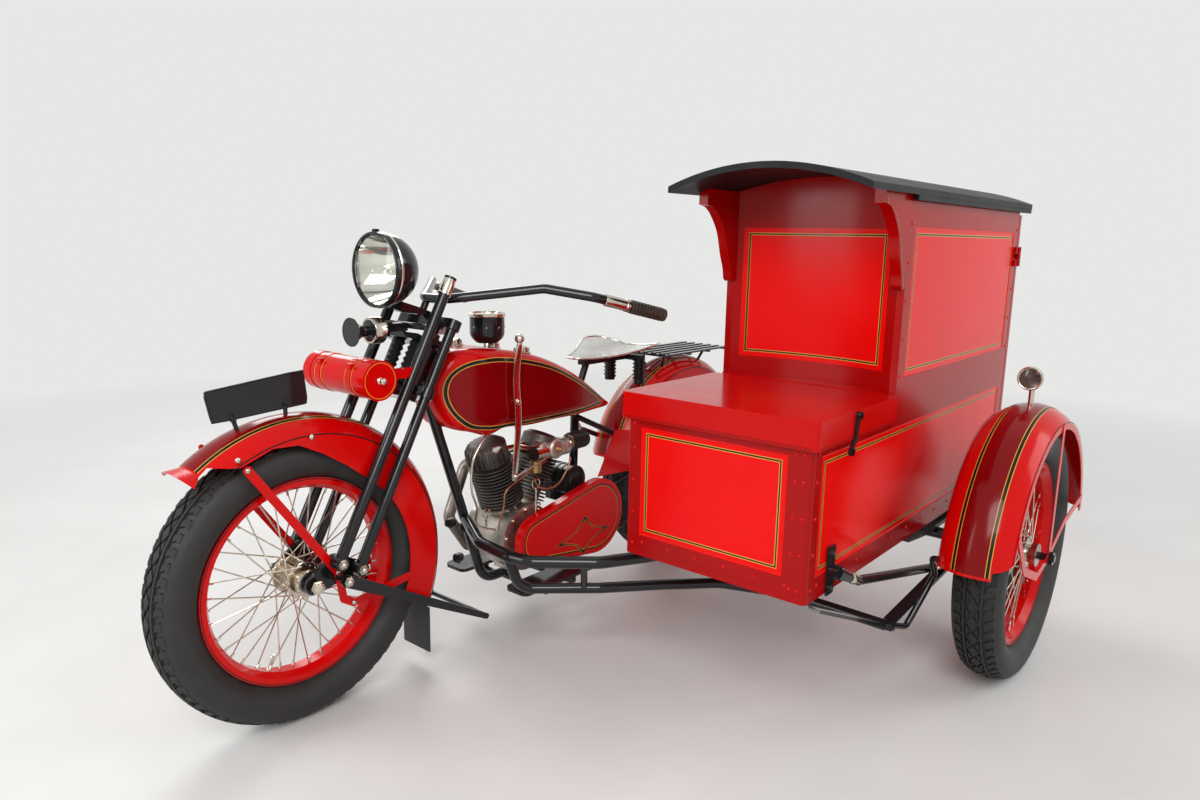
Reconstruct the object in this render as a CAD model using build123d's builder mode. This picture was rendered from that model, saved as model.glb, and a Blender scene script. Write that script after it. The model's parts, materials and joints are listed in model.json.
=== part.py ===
"""Sidecar motorcycle of the 1920s: a V-twin with a sprung fork and a box-van sidecar on its left.

Millimetres. +X runs forward, +Y to the rider's left where the sidecar is, +Z up from the ground.
The origin is on the ground under the middle of the whole outfit.
"""

import os
from itertools import product
from math import atan2, cos, degrees, hypot, radians, sin, sqrt, tan

from build123d import *

# Main layout
wheelbase = 1511.0
front_axle_x = 818.0
bike_y = -455.0
van_inner_y = bike_y + 528.0
van_width = 485.0
van_outer_y = van_inner_y + van_width
sidecar_axle_x = -565.0
sidecar_wheel_y = van_outer_y + 210.0
rear_axle_x = front_axle_x - wheelbase

# Wheels
tyre_radius = 343.0
tyre_half_width = 61.0
tread_half_width = 45.0
tread_drop = 11.0
rim_radius = 247.0
rim_half_width = 34.0
rim_wall = 4.0
rim_seat_radius = 235.0
rim_well_radius = 224.0
rim_well_half_width = 12.0
bead_half_width = 27.5
spoke_radius = 1.8
spoke_pairs = 10
spoke_lace_angle = 62.0
spoke_tip_angle = 4.5
spoke_tip_y = 5.0
spoke_tip_gap = 0.9
spoke_sink = 5.0
spoke_flange_offset = 3.4
hub_radius = 24.0
hub_flange_radius = 44.0
hub_flange_y = 30.0
hub_flange_thickness = 5.0
hub_half_length = 58.0
hub_cap_radius = 31.0
hub_cap_length = 14.0
axle_radius = 10.0
axle_height = tyre_radius

# Clearances
running_gap = 0.3
seat_gap = 0.3
door_gap = 5.0

# Steering and fork
rake = 28.0
trail = 55.0
guard_half_width = 80.0
fork_leg_y = guard_half_width + 17.0
rigid_leg_forward = 25.0
rigid_leg_radius = 13.0
rigid_leg_top = 650.0
leg_eye_half = 14.4
spring_leg_forward = 86.0
spring_leg_radius = 14.0
spring_leg_top = 700.0
pivot_up = 6.0
leg_cap_height = 44.0
head_bottom = 475.0
head_top = 620.0
head_radius = 21.0
stem_radius = 13.0
crown_thickness = 25.0
crown_gap = 8.0
spring_y = 34.0
spring_forward = 64.0
spring_radius = 17.0
spring_bottom = 441.0
spring_top = 574.0
rocker_inner_y = fork_leg_y - 29.0
rocker_thickness = 9.0
rocker_pin_radius = 7.0
rocker_eye_radius = 17.0
axle_half_length = fork_leg_y - 5.0
spring_bracket_thickness = 15.0
spring_crown_thickness = 18.0
spring_coils = 9
leg_cap_step = 2.0
lamp_bar_up = 606.0
lamp_bar_radius = 8.0

# Handlebar
bar_radius = 12.5
bar_bend = 60.0
grip_length = 118.0
grip_radius = 17.0
sleeve_end = 190.0
sleeve_radius = 15.0
riser_forward = 34.0
riser_y = 30.0
riser_top = 703.0
riser_radius = 9.5

# Front mudguard
guard_radius = 396.0
guard_wall = 3.0
guard_front_angle = 52.0
guard_rear_angle = 205.0
guard_lip_angle = 3.6
guard_lip_rise = 20.0
valance_radius = 272.0
stay_width = 20.0
stay_thickness = 2.2
guard_shoulder = 42.0
flap_half_width = 55.0
flap_thickness = 4.0
flap_bottom_z = 40.0
flap_x = 470.0
# radius and angle of the corners of what is cut from the front of the valance
valance_trim = (
    (200.0, 45.0),
    (386.0, 45.0),
    (384.0, 56.0),
    (352.0, 63.0),
    (352.0, 76.0),
    (340.0, 86.0),
    (310.0, 97.0),
    (286.0, 110.0),
    (272.0, 126.0),
    (200.0, 126.0),
)
# distance ahead of the axle, and z, along the front stay
front_stay_run = (
    (145.0, 648.0),
    (-60.0, 360.0),
    (-72.0, 290.0),
    (-100.0, 272.0),
    (-262.0, 290.0),
)

# Rear mudguard
rear_guard_radius = 391.0
rear_valance_radius = 318.0
rear_guard_front = 12.0
rear_guard_rear = 190.0
guard_stud_x = rear_axle_x + 308.0
guard_stud_z = 474.0

# Sidecar mudguard
sidecar_guard_radius = 398.0
sidecar_guard_half_width = 84.0
sidecar_corner_start = 46.0
sidecar_valance_radius = 340.0
sidecar_guard_front = 6.0
sidecar_guard_rear = 172.0
# radius and angle of the corners of what is cut from the outer side's front end
sidecar_corner_trim = (
    (300.0, 2.0),
    (420.0, 2.0),
    (410.0, 8.0),
    (385.0, 9.0),
    (366.0, 11.0),
    (352.0, 14.0),
    (342.0, 18.0),
    (330.0, 24.0),
    (300.0, 24.0),
)
# radius and angle along the curved band across the outer side
sidecar_band_run = (
    (352.0, 22.0),
    (250.0, 8.0),
    (120.0, -8.0),
    (20.0, 0.0),
    (150.0, 155.0),
    (345.0, 165.0),
)

# Headlamp, horn, canister and number plate
lamp_face_x = 574.0
lamp_z = 1058.0
lamp_radius = 90.0
lamp_wall = 4.0
lamp_depth = 110.0
lamp_rim = 14.0
lamp_bracket_half = 12.0
horn_z = 912.0
# x and radius along the horn, from its back to its mouth
horn_profile = (
    (552.0, 12.0),
    (562.0, 32.0),
    (594.0, 32.0),
    (598.0, 12.0),
    (618.0, 15.0),
    (636.0, 24.0),
    (646.0, 34.0),
)
canister_x = 655.0
canister_z = 810.0
canister_radius = 46.0
canister_half_length = 122.0
canister_foot_up = 470.0
number_plate_outline = ((1008.0, 811.0), (778.0, 835.0), (770.0, 757.0), (994.0, 742.0))
number_plate_stud_angles = (72.0, 89.0)

# Stands
stand_bar_radius = 7.0
rear_stand_length = 412.0
rear_stand_angle = 32.0
rear_stand_leg_y = guard_half_width + 28.0
stand_leg_y = fork_leg_y + 18.0
stand_leg_thickness = 5.0
stand_leg_width = 30.0
stand_end_width = 16.0
front_stand_end = (325.0, 113.0)
stand_bolt_forward = 63.0
stand_bolt_drop = 27.0

# Motorcycle frame
down_tube_radius = 14.0
top_tube_radius = 13.0
stay_tube_radius = 9.0
lug_x = -165.0
lug_z = 640.0
lug_radius = 22.0
cradle_z = 158.0
rear_fork_y = guard_half_width + 12.0
seat_tube_x = -150.0
stay_top_z = 586.0
down_tube_up = 516.0
top_tube_up = 574.0
rear_axle_half_length = rear_fork_y + 30.0

# Engine
crank_x = 119.0
crank_z = 275.0
case_radius = 98.0
case_half_width = 72.0
case_neck_radius = 42.0
front_cylinder_lean = 19.0
rear_cylinder_lean = -26.0
cylinder_radius = 48.0
cylinder_fin_radius = 66.0
cylinder_base = 104.0
fin_count = 13
fin_pitch = 10.4
fin_thickness = 4.0
head_height = 62.0
cylinder_gap = 0.75
carb_x = 102.0
carb_y = 92.0
carb_z = 531.0
generator_x = -95.0
generator_z = 400.0
generator_radius = 48.0
# x, z, radius of the circles that the gearbox's side wraps
gearbox_circles = (
    (-228.0, 300.0, 40.0),
    (-262.0, 290.0, 34.0),
    (-212.0, 262.0, 38.0),
)
primary_front_radius = 72.0
primary_rear_radius = 118.0
clutch_x = -150.0
clutch_z = 285.0
guard_inner_y = 90.0
guard_outer_y = 116.0
exhaust_y = 110.0
exhaust_z = 222.0
exhaust_radius = 17.0
muffler_radius = 33.0
gear_x = 198.0
gear_y = 118.0
gear_top_z = 858.0
lever_stud_gap = 0.4
gearbox_half_width = 61.0
timing_cover_depth = 17.0
# x, z, radius of the circles that the cover over the timing gears wraps
timing_circles = (
    (crank_x, crank_z, 60.0),
    (34.0, 300.0, 34.0),
    (176.0, 316.0, 30.0),
)

# Final drive
sprocket_radius = 92.0
front_sprocket_radius = 38.0
sprocket_bore = 24.0
sprocket_inset = 1.0
chain_inner_y = 66.5
chain_outer_y = 74.5
chain_depth = 8.0
chain_gap = 1.5
chain_guard_thickness = 3.0
# x and z of the corners of the panel beside the chain
chain_guard_outline = (
    (-242.0, 546.0),
    (-160.0, 408.0),
    (-340.0, 396.0),
    (-640.0, 434.0),
    (-660.0, 462.0),
    (-430.0, 486.0),
    (-340.0, 528.0),
)

# Fuel tank
tank_half_width = 104.0
tank_slot_half = 16.0
tank_edge_round = 38.0
tank_head_gap = 9.0
# x, z of the bottom, z of the top, half width and edge round of each section, from nose to tail
tank_sections = (
    (437.0, 742.0, 786.0, 36.0, 20.0),
    (430.0, 712.0, 804.0, 50.0, tank_edge_round),
    (415.0, 680.0, 824.0, 63.0, tank_edge_round),
    (394.0, 650.0, 841.0, 75.0, tank_edge_round),
    (366.0, 634.0, 850.0, 87.0, tank_edge_round),
    (320.0, 622.0, 851.0, tank_half_width - 3, tank_edge_round),
    (240.0, 617.0, 843.0, tank_half_width, tank_edge_round),
    (140.0, 614.0, 825.0, tank_half_width, tank_edge_round),
    (40.0, 613.0, 795.0, tank_half_width - 1, tank_edge_round),
    (-60.0, 612.0, 750.0, 95.0, 32.0),
    (-150.0, 612.0, 699.0, 80.0, 24.0),
    (-225.0, 612.0, 653.0, 60.0, 14.0),
    (-281.0, 612.0, 624.0, 38.0, 5.0),
)

# Saddle and rack
saddle_low_z = 774.0
saddle_tilt = 5.0
pan_thickness = 4.0
# semi-axes of the hollow that the pan's dish follows
pan_hollow = (400.0, 230.0, 130.0)
pan_middle_x = -330.0
# x, distance aside and radius of the circles that the saddle's plan wraps
saddle_circles = (
    (-168.0, 4.0, 30.0),
    (-384.0, 72.0, 76.0),
)
rack_z = 752.0
rack_front_x = rear_axle_x + 153.0
rack_rear_x = rear_axle_x - 207.0
rack_half_width = guard_half_width + 17.0
rack_bar_half = 7.0
crown_arc_radius = (guard_half_width**2 + guard_shoulder**2) / (2 * guard_shoulder)

# Sidecar van
chest_front_x = 235.0
cabinet_front_x = -183.0
cabinet_rear_x = -1085.0
van_floor_z = 383.0
floor_thickness = 18.0
panel_thickness = 18.0
chest_wall_top = 765.0
lid_top_z = 787.0
lid_thickness = 16.0
lid_overhang = 11.0
lid_skirt = 63.0
concave_depth = 38.0
door_thickness = 20.0
corner_round = 10.0
corner_inner_round = 3.0
recess = 2.0
# margins of the recessed panels from the edges of the walls
panel_side = 40.0
panel_foot = 52.0
panel_head = 60.0

# Roof
roof_front_x = 80.0
roof_rear_x = -1150.0
roof_overhang = 17.0
roof_board = 15.0
roof_low_z = 1255.0
roof_crown = 50.0
fascia_low_z = 1243.0
fascia_thickness = 10.0
header_low_z = 1241.0
bracket_height = 218.0
bracket_reach = 150.0
bracket_thickness = 26.0

# Hinges, lid and door
knuckle_length = 20.0
knuckle_radius = 6.0
hinge_pin_radius = 3.0
door_hinge_x = -1087.0
door_hinge_y = van_outer_y + 8.0
door_hinge_z = (520.0, 1080.0)
door_outer_x = -1110.0
door_bottom_z = 406.0
door_top_z = 1236.0
door_handle_z = (710.0, 800.0)
door_handle_reach = 24.0
door_handle_radius = 5.0
chest_split_x = chest_front_x - 35.0
deck_front_x = -178.0
lid_hinge_x = -170.0
lid_hinge_z = 781.0
lid_hinge_offsets = (-140.0, 140.0)
lid_rear_x = -162.0
lid_wall = 9.0
lid_front_x = chest_front_x + door_gap + lid_wall
# x and z of the hasp's upper end, its bend and its knob
hasp_run = ((66.0, 776.0), (74.0, 726.0), (96.0, 700.0))
hasp_width = 14.0
hasp_thickness = 5.0

# Sidecar chassis
chassis_tube_radius = 16.0
chassis_z = 338.0
lower_tube_z = 240.0
inner_rail_y = bike_y + 567.0
outer_spring_y = van_outer_y - 13.0
# how far left of the motorcycle's centre the van's outer wall stands
outer_side = van_outer_y - bike_y
lower_tube_radius = 14.0
beam_radius = 16.0
rear_tie_x = -565.0
rear_tie_z = 301.0
spring_front_x = -337.0
spring_rear_x = -815.0
marker_z = 812.0
marker_stem_radius = 7.0
# x ahead of the sidecar's axle and radius along the marker lamp, from its tail to its lens rim
marker_profile = (
    (-44.0, 0.0),
    (-40.0, 8.0),
    (-30.0, 15.0),
    (-14.0, 21.0),
    (6.0, 25.0),
    (26.0, 26.0),
    (26.0, 29.0),
    (36.0, 29.0),
    (36.0, 0.0),
)
# x, distance left of the motorcycle's centre, z
upper_tube_path = (
    (308.0, 18.0, 362.0),
    (374.0, 148.0, 346.0),
    (384.0, 269.0, 342.0),
    (370.0, 330.0, 340.0),
    (250.0, 459.0, 338.0),
    (139.0, 518.0, 338.0),
    (20.0, 567.0, 338.0),
    (-880.0, 567.0, 338.0),
)
lower_tube_path = (
    (376.0, 262.0, 330.0),
    (340.0, 261.0, 240.0),
    (195.0, 415.0, 240.0),
    (66.0, 516.0, 238.0),
    (-66.0, 620.0, 232.0),
    (-142.0, 775.0, 225.0),
    (-142.0, outer_side + 37, 221.0),
)
# start and end of each flat bar: x, distance left of the motorcycle's centre, z
truss_bars = (
    (210.0, outer_side + 11, 372.0, -142.0, outer_side + 37, 221.0),
    (-142.0, outer_side + 37, 221.0, -399.0, outer_side + 87, 315.0),
    (-399.0, outer_side + 87, 315.0, -548.0, outer_side + 87, 338.0),
    (-142.0, 567.0, 330.0, -142.0, 700.0, 225.0),
)
# start and end of the post between the two tubes: x, distance left of the motorcycle's centre, z
tube_post = ((277.0, 430.0, 338.0), (224.0, 385.0, 240.0))
tube_post_radius = 9.0
corner_plate_x = (108.0, 140.0)
corner_plate_z = (378.0, 490.0)
corner_plate_thickness = 5.0
# x, y, z of the spigot's root on the plate, of its tip and of the far end of the stay behind it
spigot_root = (124.0, van_outer_y + 19, 433.0)
spigot_tip = (48.0, van_outer_y + 37, 396.0)
spigot_radii = (15.0, 9.0)
body_stay_end = (-399.0, van_outer_y + 87, 315.0)
body_stay_radius = 11.0
guard_stay_radius = 8.0
# x, y, z along the thin tube that steadies the sidecar's mudguard
guard_stay_path = (
    (-142.0, van_outer_y + 37, 221.0),
    (-215.0, van_outer_y + 62, 200.0),
    (-306.0, van_outer_y + 92, 318.0),
    (-220.0, van_outer_y + 110, 392.0),
    (-220.0, sidecar_wheel_y - sidecar_guard_half_width - seat_gap, 392.0),
)


os.makedirs("parts", exist_ok=True)

fork_origin_x = front_axle_x + trail - axle_height * tan(radians(rake))
axle_forward = (front_axle_x - fork_origin_x) * cos(radians(rake))
axle_drop = (front_axle_x - fork_origin_x) * sin(radians(rake))


def fork_point(forward, side, up):
    """Gives the place of a point stated along the steering axis: ahead of it, beside it and up it."""
    x = fork_origin_x + forward * cos(radians(rake)) - up * sin(radians(rake))
    z = axle_height + forward * sin(radians(rake)) + up * cos(radians(rake))
    return (x, bike_y + side, z)


def fork_plane(forward, side, up):
    """Gives a plane square to the steering axis, its X ahead and its Y to the left."""
    ahead = (cos(radians(rake)), 0, sin(radians(rake)))
    axis = (-sin(radians(rake)), 0, cos(radians(rake)))
    return Plane(origin=fork_point(forward, side, up), x_dir=ahead, z_dir=axis)


def side_plane(y):
    """Gives an upright plane at y whose X is forward, whose Y is up and whose normal points to -Y."""
    return Plane(origin=(0, y, 0), x_dir=(1, 0, 0), z_dir=(0, -1, 0))


def wheel_point(centre_x, radius, angle):
    """Gives X and Z of a point at a radius and an angle from forward, round an axle."""
    return (centre_x + radius * cos(radians(angle)), axle_height + radius * sin(radians(angle)))


def rod(start, end, radius, mode=Mode.ADD):
    """Adds a straight round bar from start to end."""
    run = Vector(*end) - Vector(*start)
    with BuildSketch(Plane(origin=start, z_dir=run)) as face:
        Circle(radius)
    extrude(face.sketch, amount=run.length, mode=mode)


def taper_rod(start, end, radii):
    """Adds a straight round bar whose radius changes from start to end."""
    run = Vector(*end) - Vector(*start)
    ends = []
    for point, radius in zip((start, end), radii):
        with BuildSketch(Plane(origin=point, z_dir=run)) as face:
            Circle(radius)
        ends.append(face.sketch.face())
    loft(ends)


def bar(start, end, width, depth, mode=Mode.ADD):
    """Adds a straight flat bar from start to end, its depth across and its width upright."""
    run = Vector(*end) - Vector(*start)
    across = Vector(0, 0, 1).cross(run)
    with BuildSketch(Plane(origin=start, x_dir=across, z_dir=run)) as face:
        Rectangle(depth, width)
    extrude(face.sketch, amount=run.length, mode=mode)


def pipe(points, radius, bend):
    """Adds a bent round tube through the points, each corner rounded by the bend."""
    with BuildLine() as path:
        FilletPolyline(*points, radius=bend)
    line = path.line
    with BuildSketch(Plane(origin=line @ 0, z_dir=line % 0)) as face:
        Circle(radius)
    sweep(sections=face.sketch, path=line)


def plate(outline, y_low, y_high, mode=Mode.ADD):
    """Adds an upright plate between two y values from an outline of X and Z points."""
    with BuildSketch(side_plane(y_high)) as face:
        Polygon(*outline, align=None)
    extrude(face.sketch, amount=y_high - y_low, mode=mode)


def block(low, high, mode=Mode.ADD):
    """Adds a box between its lowest and its highest corner."""
    size = [high[i] - low[i] for i in range(3)]
    with Locations([(low[0] + size[0] / 2, low[1] + size[1] / 2, low[2] + size[2] / 2)]):
        Box(*size, mode=mode)


def save(piece, label):
    """Labels a finished piece and writes its file."""
    piece.part.label = label
    export_step(piece.part, f"parts/{label}.step")


# Wheels: a tyre, a rim and a spoked hub for each


def make_wheel():
    """Makes the tyre, the rim and the spoked hub of one wheel, about an axle along Y at the origin."""
    section = Plane.XY
    axle_line = Axis.Y
    shoulder_radius = tyre_radius - tread_drop
    wall_radius = (tyre_radius + rim_radius) / 2
    bead = bead_half_width - seat_gap
    base_radius = rim_seat_radius + seat_gap
    lip_top = rim_radius + 2

    with BuildPart() as tyre:
        with BuildSketch(section):
            with BuildLine():
                Polyline((lip_top, -bead), (base_radius, -bead), (base_radius, bead), (lip_top, bead))
                ThreePointArc(
                    (lip_top, bead), (wall_radius, tyre_half_width), (shoulder_radius, tread_half_width)
                )
                ThreePointArc(
                    (shoulder_radius, tread_half_width),
                    (tyre_radius, 0),
                    (shoulder_radius, -tread_half_width),
                )
                ThreePointArc(
                    (shoulder_radius, -tread_half_width), (wall_radius, -tyre_half_width), (lip_top, -bead)
                )
            make_face()
        revolve(axis=axle_line)

    with BuildPart() as rim:
        with BuildSketch(section):
            with BuildLine():
                Polyline(
                    (rim_radius, -rim_half_width),
                    (rim_radius, -bead_half_width),
                    (rim_seat_radius, -bead_half_width),
                    (rim_well_radius, -rim_well_half_width),
                    (rim_well_radius, rim_well_half_width),
                    (rim_seat_radius, bead_half_width),
                    (rim_radius, bead_half_width),
                    (rim_radius, rim_half_width),
                    (rim_seat_radius - rim_wall, rim_half_width),
                    (rim_well_radius - rim_wall, rim_well_half_width + rim_wall),
                    (rim_well_radius - rim_wall, -rim_well_half_width - rim_wall),
                    (rim_seat_radius - rim_wall, -rim_half_width),
                    close=True,
                )
            make_face()
        revolve(axis=axle_line)

    with BuildPart() as hub:
        with BuildSketch(section):
            with Locations((hub_radius / 2, 0)):
                Rectangle(hub_radius, 2 * hub_half_length)
            for side in (-1, 1):
                with Locations((hub_flange_radius / 2, side * hub_flange_y)):
                    Rectangle(hub_flange_radius, hub_flange_thickness)
                with Locations((hub_cap_radius / 2, side * (hub_half_length - hub_cap_length / 2))):
                    Rectangle(hub_cap_radius, hub_cap_length)
        revolve(axis=axle_line)
        tip_radius = rim_well_radius - rim_wall - spoke_tip_gap
        root_radius = hub_flange_radius - spoke_sink
        for side, turn, lean in product((-1, 1), range(spoke_pairs), (-1, 1)):
            middle = radians(360 / spoke_pairs * (turn + side * 0.25))
            root = middle + lean * radians(spoke_lace_angle)
            tip = middle + lean * radians(spoke_tip_angle)
            root_y = side * (hub_flange_y + lean * spoke_flange_offset)
            start = Vector(root_radius * cos(root), root_y, root_radius * sin(root))
            end = Vector(tip_radius * cos(tip), side * spoke_tip_y, tip_radius * sin(tip))
            with BuildSketch(Plane(origin=start, z_dir=end - start)):
                RegularPolygon(spoke_radius, 6)
            extrude(amount=(end - start).length)
        with Locations(Location((0, 0, 0), (90, 0, 0))):
            Cylinder(axle_radius + running_gap, 3 * hub_half_length, mode=Mode.SUBTRACT)
    return {"tyre": tyre.part, "rim": rim.part, "hub": hub.part}


wheel_places = (
    # name, x, y
    ("front", front_axle_x, bike_y),
    ("rear", rear_axle_x, bike_y),
    ("sidecar", sidecar_axle_x, sidecar_wheel_y),
)
wheel = make_wheel()
for wheel_name, wheel_x, wheel_y in wheel_places:
    for kind, piece in wheel.items():
        placed = piece.moved(Location((wheel_x, wheel_y, axle_height)))
        placed.label = f"{wheel_name}_{kind}"
        export_step(placed, f"parts/{placed.label}.step")


# Fork: the rigid legs with the stem, the sprung legs with their caps, springs and rockers

lower_crown_low = head_bottom - crown_gap - crown_thickness
upper_crown_low = head_top + crown_gap


def crown(up, thickness):
    """Adds a forging across the rigid legs and the stem, with a boss at its front."""
    with BuildSketch(fork_plane(0, 0, up)) as face:
        Circle(stem_radius + 11)
        with Locations((rigid_leg_forward, fork_leg_y), (rigid_leg_forward, -fork_leg_y)):
            Circle(rigid_leg_radius + 6)
        with Locations((rigid_leg_forward + 6, 0)):
            Circle(stem_radius)
        make_hull()
    extrude(face.sketch, amount=thickness)


def leg_eye(forward, side):
    """Adds the eye at the foot of a fork leg, with the hole for its rocker pin."""
    low = fork_point(forward, side * fork_leg_y - leg_eye_half, pivot_up)
    high = fork_point(forward, side * fork_leg_y + leg_eye_half, pivot_up)
    rod(low, high, rocker_eye_radius)
    rod(low, high, rocker_pin_radius + running_gap, mode=Mode.SUBTRACT)


with BuildPart() as rigid_fork:
    for side in (-1, 1):
        rod(
            fork_point(rigid_leg_forward, side * fork_leg_y, pivot_up),
            fork_point(rigid_leg_forward, side * fork_leg_y, rigid_leg_top),
            rigid_leg_radius,
        )
    rod(
        fork_point(0, 0, lower_crown_low),
        fork_point(0, 0, upper_crown_low + crown_thickness),
        stem_radius,
    )
    crown(lower_crown_low, crown_thickness)
    crown(upper_crown_low, crown_thickness)
    bracket_depth = spring_leg_forward - spring_leg_radius - 2 - rigid_leg_forward
    with BuildSketch(fork_plane(rigid_leg_forward, 0, spring_top)):
        Rectangle(bracket_depth, 2 * fork_leg_y, align=(Align.MIN, Align.CENTER))
        Rectangle(
            spring_forward + spring_radius + 3 - rigid_leg_forward,
            2 * (spring_y + spring_radius + 3),
            align=(Align.MIN, Align.CENTER),
        )
    extrude(amount=spring_bracket_thickness)
    for side in (-1, 1):
        leg_eye(rigid_leg_forward, side)
save(rigid_fork, "rigid_fork")

with BuildPart() as spring_fork:
    for side in (-1, 1):
        foot = fork_point(spring_leg_forward, side * fork_leg_y, pivot_up)
        top = fork_point(spring_leg_forward, side * fork_leg_y, spring_leg_top)
        rod(foot, top, spring_leg_radius)
        cap = fork_point(spring_leg_forward, side * fork_leg_y, spring_leg_top + leg_cap_height)
        rod(top, cap, spring_leg_radius + leg_cap_step)
    crown_back = spring_forward - spring_radius
    crown_front = spring_leg_forward + spring_leg_radius - 3
    with BuildSketch(
        fork_plane((crown_back + crown_front) / 2, 0, spring_bottom - seat_gap - spring_crown_thickness)
    ):
        Rectangle(crown_front - crown_back, 2 * (fork_leg_y - 3))
    extrude(amount=spring_crown_thickness)
    rod(
        fork_point(spring_leg_forward, -fork_leg_y, lamp_bar_up),
        fork_point(spring_leg_forward, fork_leg_y, lamp_bar_up),
        lamp_bar_radius,
    )
    for side in (-1, 1):
        leg_eye(spring_leg_forward, side)
save(spring_fork, "spring_fork")

with BuildPart() as fork_springs:
    coil_pitch = (spring_top - spring_bottom) / spring_coils
    wire = coil_pitch * 0.32
    for side in (-1, 1):
        foot = fork_plane(spring_forward, side * spring_y, spring_bottom)
        with BuildSketch(Plane(origin=foot.origin, x_dir=foot.x_dir, z_dir=(0, -1, 0))):
            with BuildLine():
                points = [(0, 0)]
                for coil in range(spring_coils):
                    low = coil * coil_pitch
                    points.append((spring_radius - wire, low))
                    points.append((spring_radius, low + coil_pitch / 2))
                points.append((spring_radius - wire, spring_coils * coil_pitch - seat_gap))
                points.append((0, spring_coils * coil_pitch - seat_gap))
                Polyline(*points, close=True)
            make_face()
        revolve(axis=Axis(foot.origin, foot.z_dir))
save(fork_springs, "fork_springs")

with BuildPart() as fork_rockers:
    for side in (-1, 1):
        y_inner = bike_y + side * rocker_inner_y
        y_outer = bike_y + side * (rocker_inner_y + rocker_thickness)
        eyes = (
            # forward, up, radius
            (rigid_leg_forward, pivot_up, rocker_eye_radius),
            (spring_leg_forward, pivot_up, rocker_eye_radius),
            (axle_forward, -axle_drop, rocker_eye_radius + 5),
            (stand_bolt_forward, -stand_bolt_drop, rocker_eye_radius),
        )
        with BuildSketch(side_plane(max(y_inner, y_outer))):
            for forward, up, radius in eyes:
                x, _, z = fork_point(forward, 0, up)
                with Locations((x, z)):
                    Circle(radius)
            make_hull()
        extrude(amount=rocker_thickness)
        for forward, up, reach in (
            (rigid_leg_forward, pivot_up, fork_leg_y + leg_eye_half + 2),
            (spring_leg_forward, pivot_up, fork_leg_y + leg_eye_half + 2),
            (stand_bolt_forward, -stand_bolt_drop, stand_leg_y + stand_leg_thickness + 8),
        ):
            rod(
                fork_point(forward, side * rocker_inner_y, up),
                fork_point(forward, side * reach, up),
                rocker_pin_radius,
            )
        rod(
            fork_point(axle_forward, side * (hub_half_length + seat_gap), -axle_drop),
            fork_point(axle_forward, side * rocker_inner_y, -axle_drop),
            axle_radius + 5,
        )
    rod(
        fork_point(axle_forward, -axle_half_length, -axle_drop),
        fork_point(axle_forward, axle_half_length, -axle_drop),
        axle_radius,
    )
save(fork_rockers, "fork_rockers")

bar_half_path = (
    # x, distance left of the motorcycle's centre, z
    (-66.0, 405.0, 941.0),
    (135.0, 330.0, 993.0),
    (215.0, 225.0, 1013.0),
    (345.0, 90.0, 990.0),
    (395.0, 40.0, 982.0),
)
with BuildPart() as handlebar:
    left = [(x, bike_y + y, z) for x, y, z in bar_half_path]
    right = [(x, bike_y - y, z) for x, y, z in reversed(bar_half_path)]
    pipe(left + right, bar_radius, bar_bend)
    for x_y_z, sign in ((bar_half_path, 1), (bar_half_path, -1)):
        end = Vector(x_y_z[0][0], bike_y + sign * x_y_z[0][1], x_y_z[0][2])
        inner = Vector(x_y_z[1][0], bike_y + sign * x_y_z[1][1], x_y_z[1][2])
        along = (inner - end).normalized()
        rod(tuple(end), tuple(end + along * grip_length), grip_radius)
        rod(tuple(end + along * grip_length), tuple(end + along * sleeve_end), sleeve_radius)
    for side in (-1, 1):
        rod(
            fork_point(riser_forward, side * riser_y, upper_crown_low + crown_thickness + seat_gap),
            fork_point(riser_forward, side * riser_y, riser_top),
            riser_radius,
        )
save(handlebar, "handlebar")


# Mudguards: a crowned channel round each wheel


def guard_channel(centre_x, centre_y, radius, half_width, low, start_angle, end_angle):
    """Adds a mudguard's bent channel about an axle, from a start angle to an end angle."""
    start = radians(start_angle)
    place = Plane(
        origin=(centre_x, centre_y, axle_height),
        x_dir=(cos(start), 0, sin(start)),
        z_dir=(-sin(start), 0, cos(start)),
    )
    with BuildSketch(place) as face:
        with BuildLine():
            Polyline(
                (radius - guard_shoulder, half_width),
                (low, half_width),
                (low, half_width - guard_wall),
                (radius - guard_shoulder, half_width - guard_wall),
            )
            ThreePointArc(
                (radius - guard_shoulder, half_width - guard_wall),
                (radius - guard_wall, 0),
                (radius - guard_shoulder, guard_wall - half_width),
            )
            Polyline(
                (radius - guard_shoulder, guard_wall - half_width),
                (low, guard_wall - half_width),
                (low, -half_width),
                (radius - guard_shoulder, -half_width),
            )
            ThreePointArc(
                (radius - guard_shoulder, -half_width),
                (radius, 0),
                (radius - guard_shoulder, half_width),
            )
        make_face()
    turn = Axis((centre_x, centre_y, axle_height), (0, -1, 0))
    revolve(face.sketch, axis=turn, revolution_arc=end_angle - start_angle)


def crown_lip(centre_x, centre_y, radius, half_width, start_angle):
    """Adds the lip that flares up at the front end of a mudguard's crown."""
    sections = []
    for angle, rise in ((start_angle + 0.4, 0.0), (start_angle - guard_lip_angle, guard_lip_rise)):
        turn = radians(angle)
        place = Plane(
            origin=(centre_x, centre_y, axle_height),
            x_dir=(cos(turn), 0, sin(turn)),
            z_dir=(-sin(turn), 0, cos(turn)),
        )
        low, high = radius - guard_shoulder + rise, radius + rise
        with BuildSketch(place) as face:
            with BuildLine():
                ThreePointArc((low, half_width), (high, 0), (low, -half_width))
                Line((low, -half_width), (low, guard_wall - half_width))
                ThreePointArc(
                    (low, guard_wall - half_width), (high - guard_wall, 0), (low, half_width - guard_wall)
                )
                Line((low, half_width - guard_wall), (low, half_width))
            make_face()
        sections.append(face.sketch.face())
    loft(sections, ruled=True)


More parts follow.
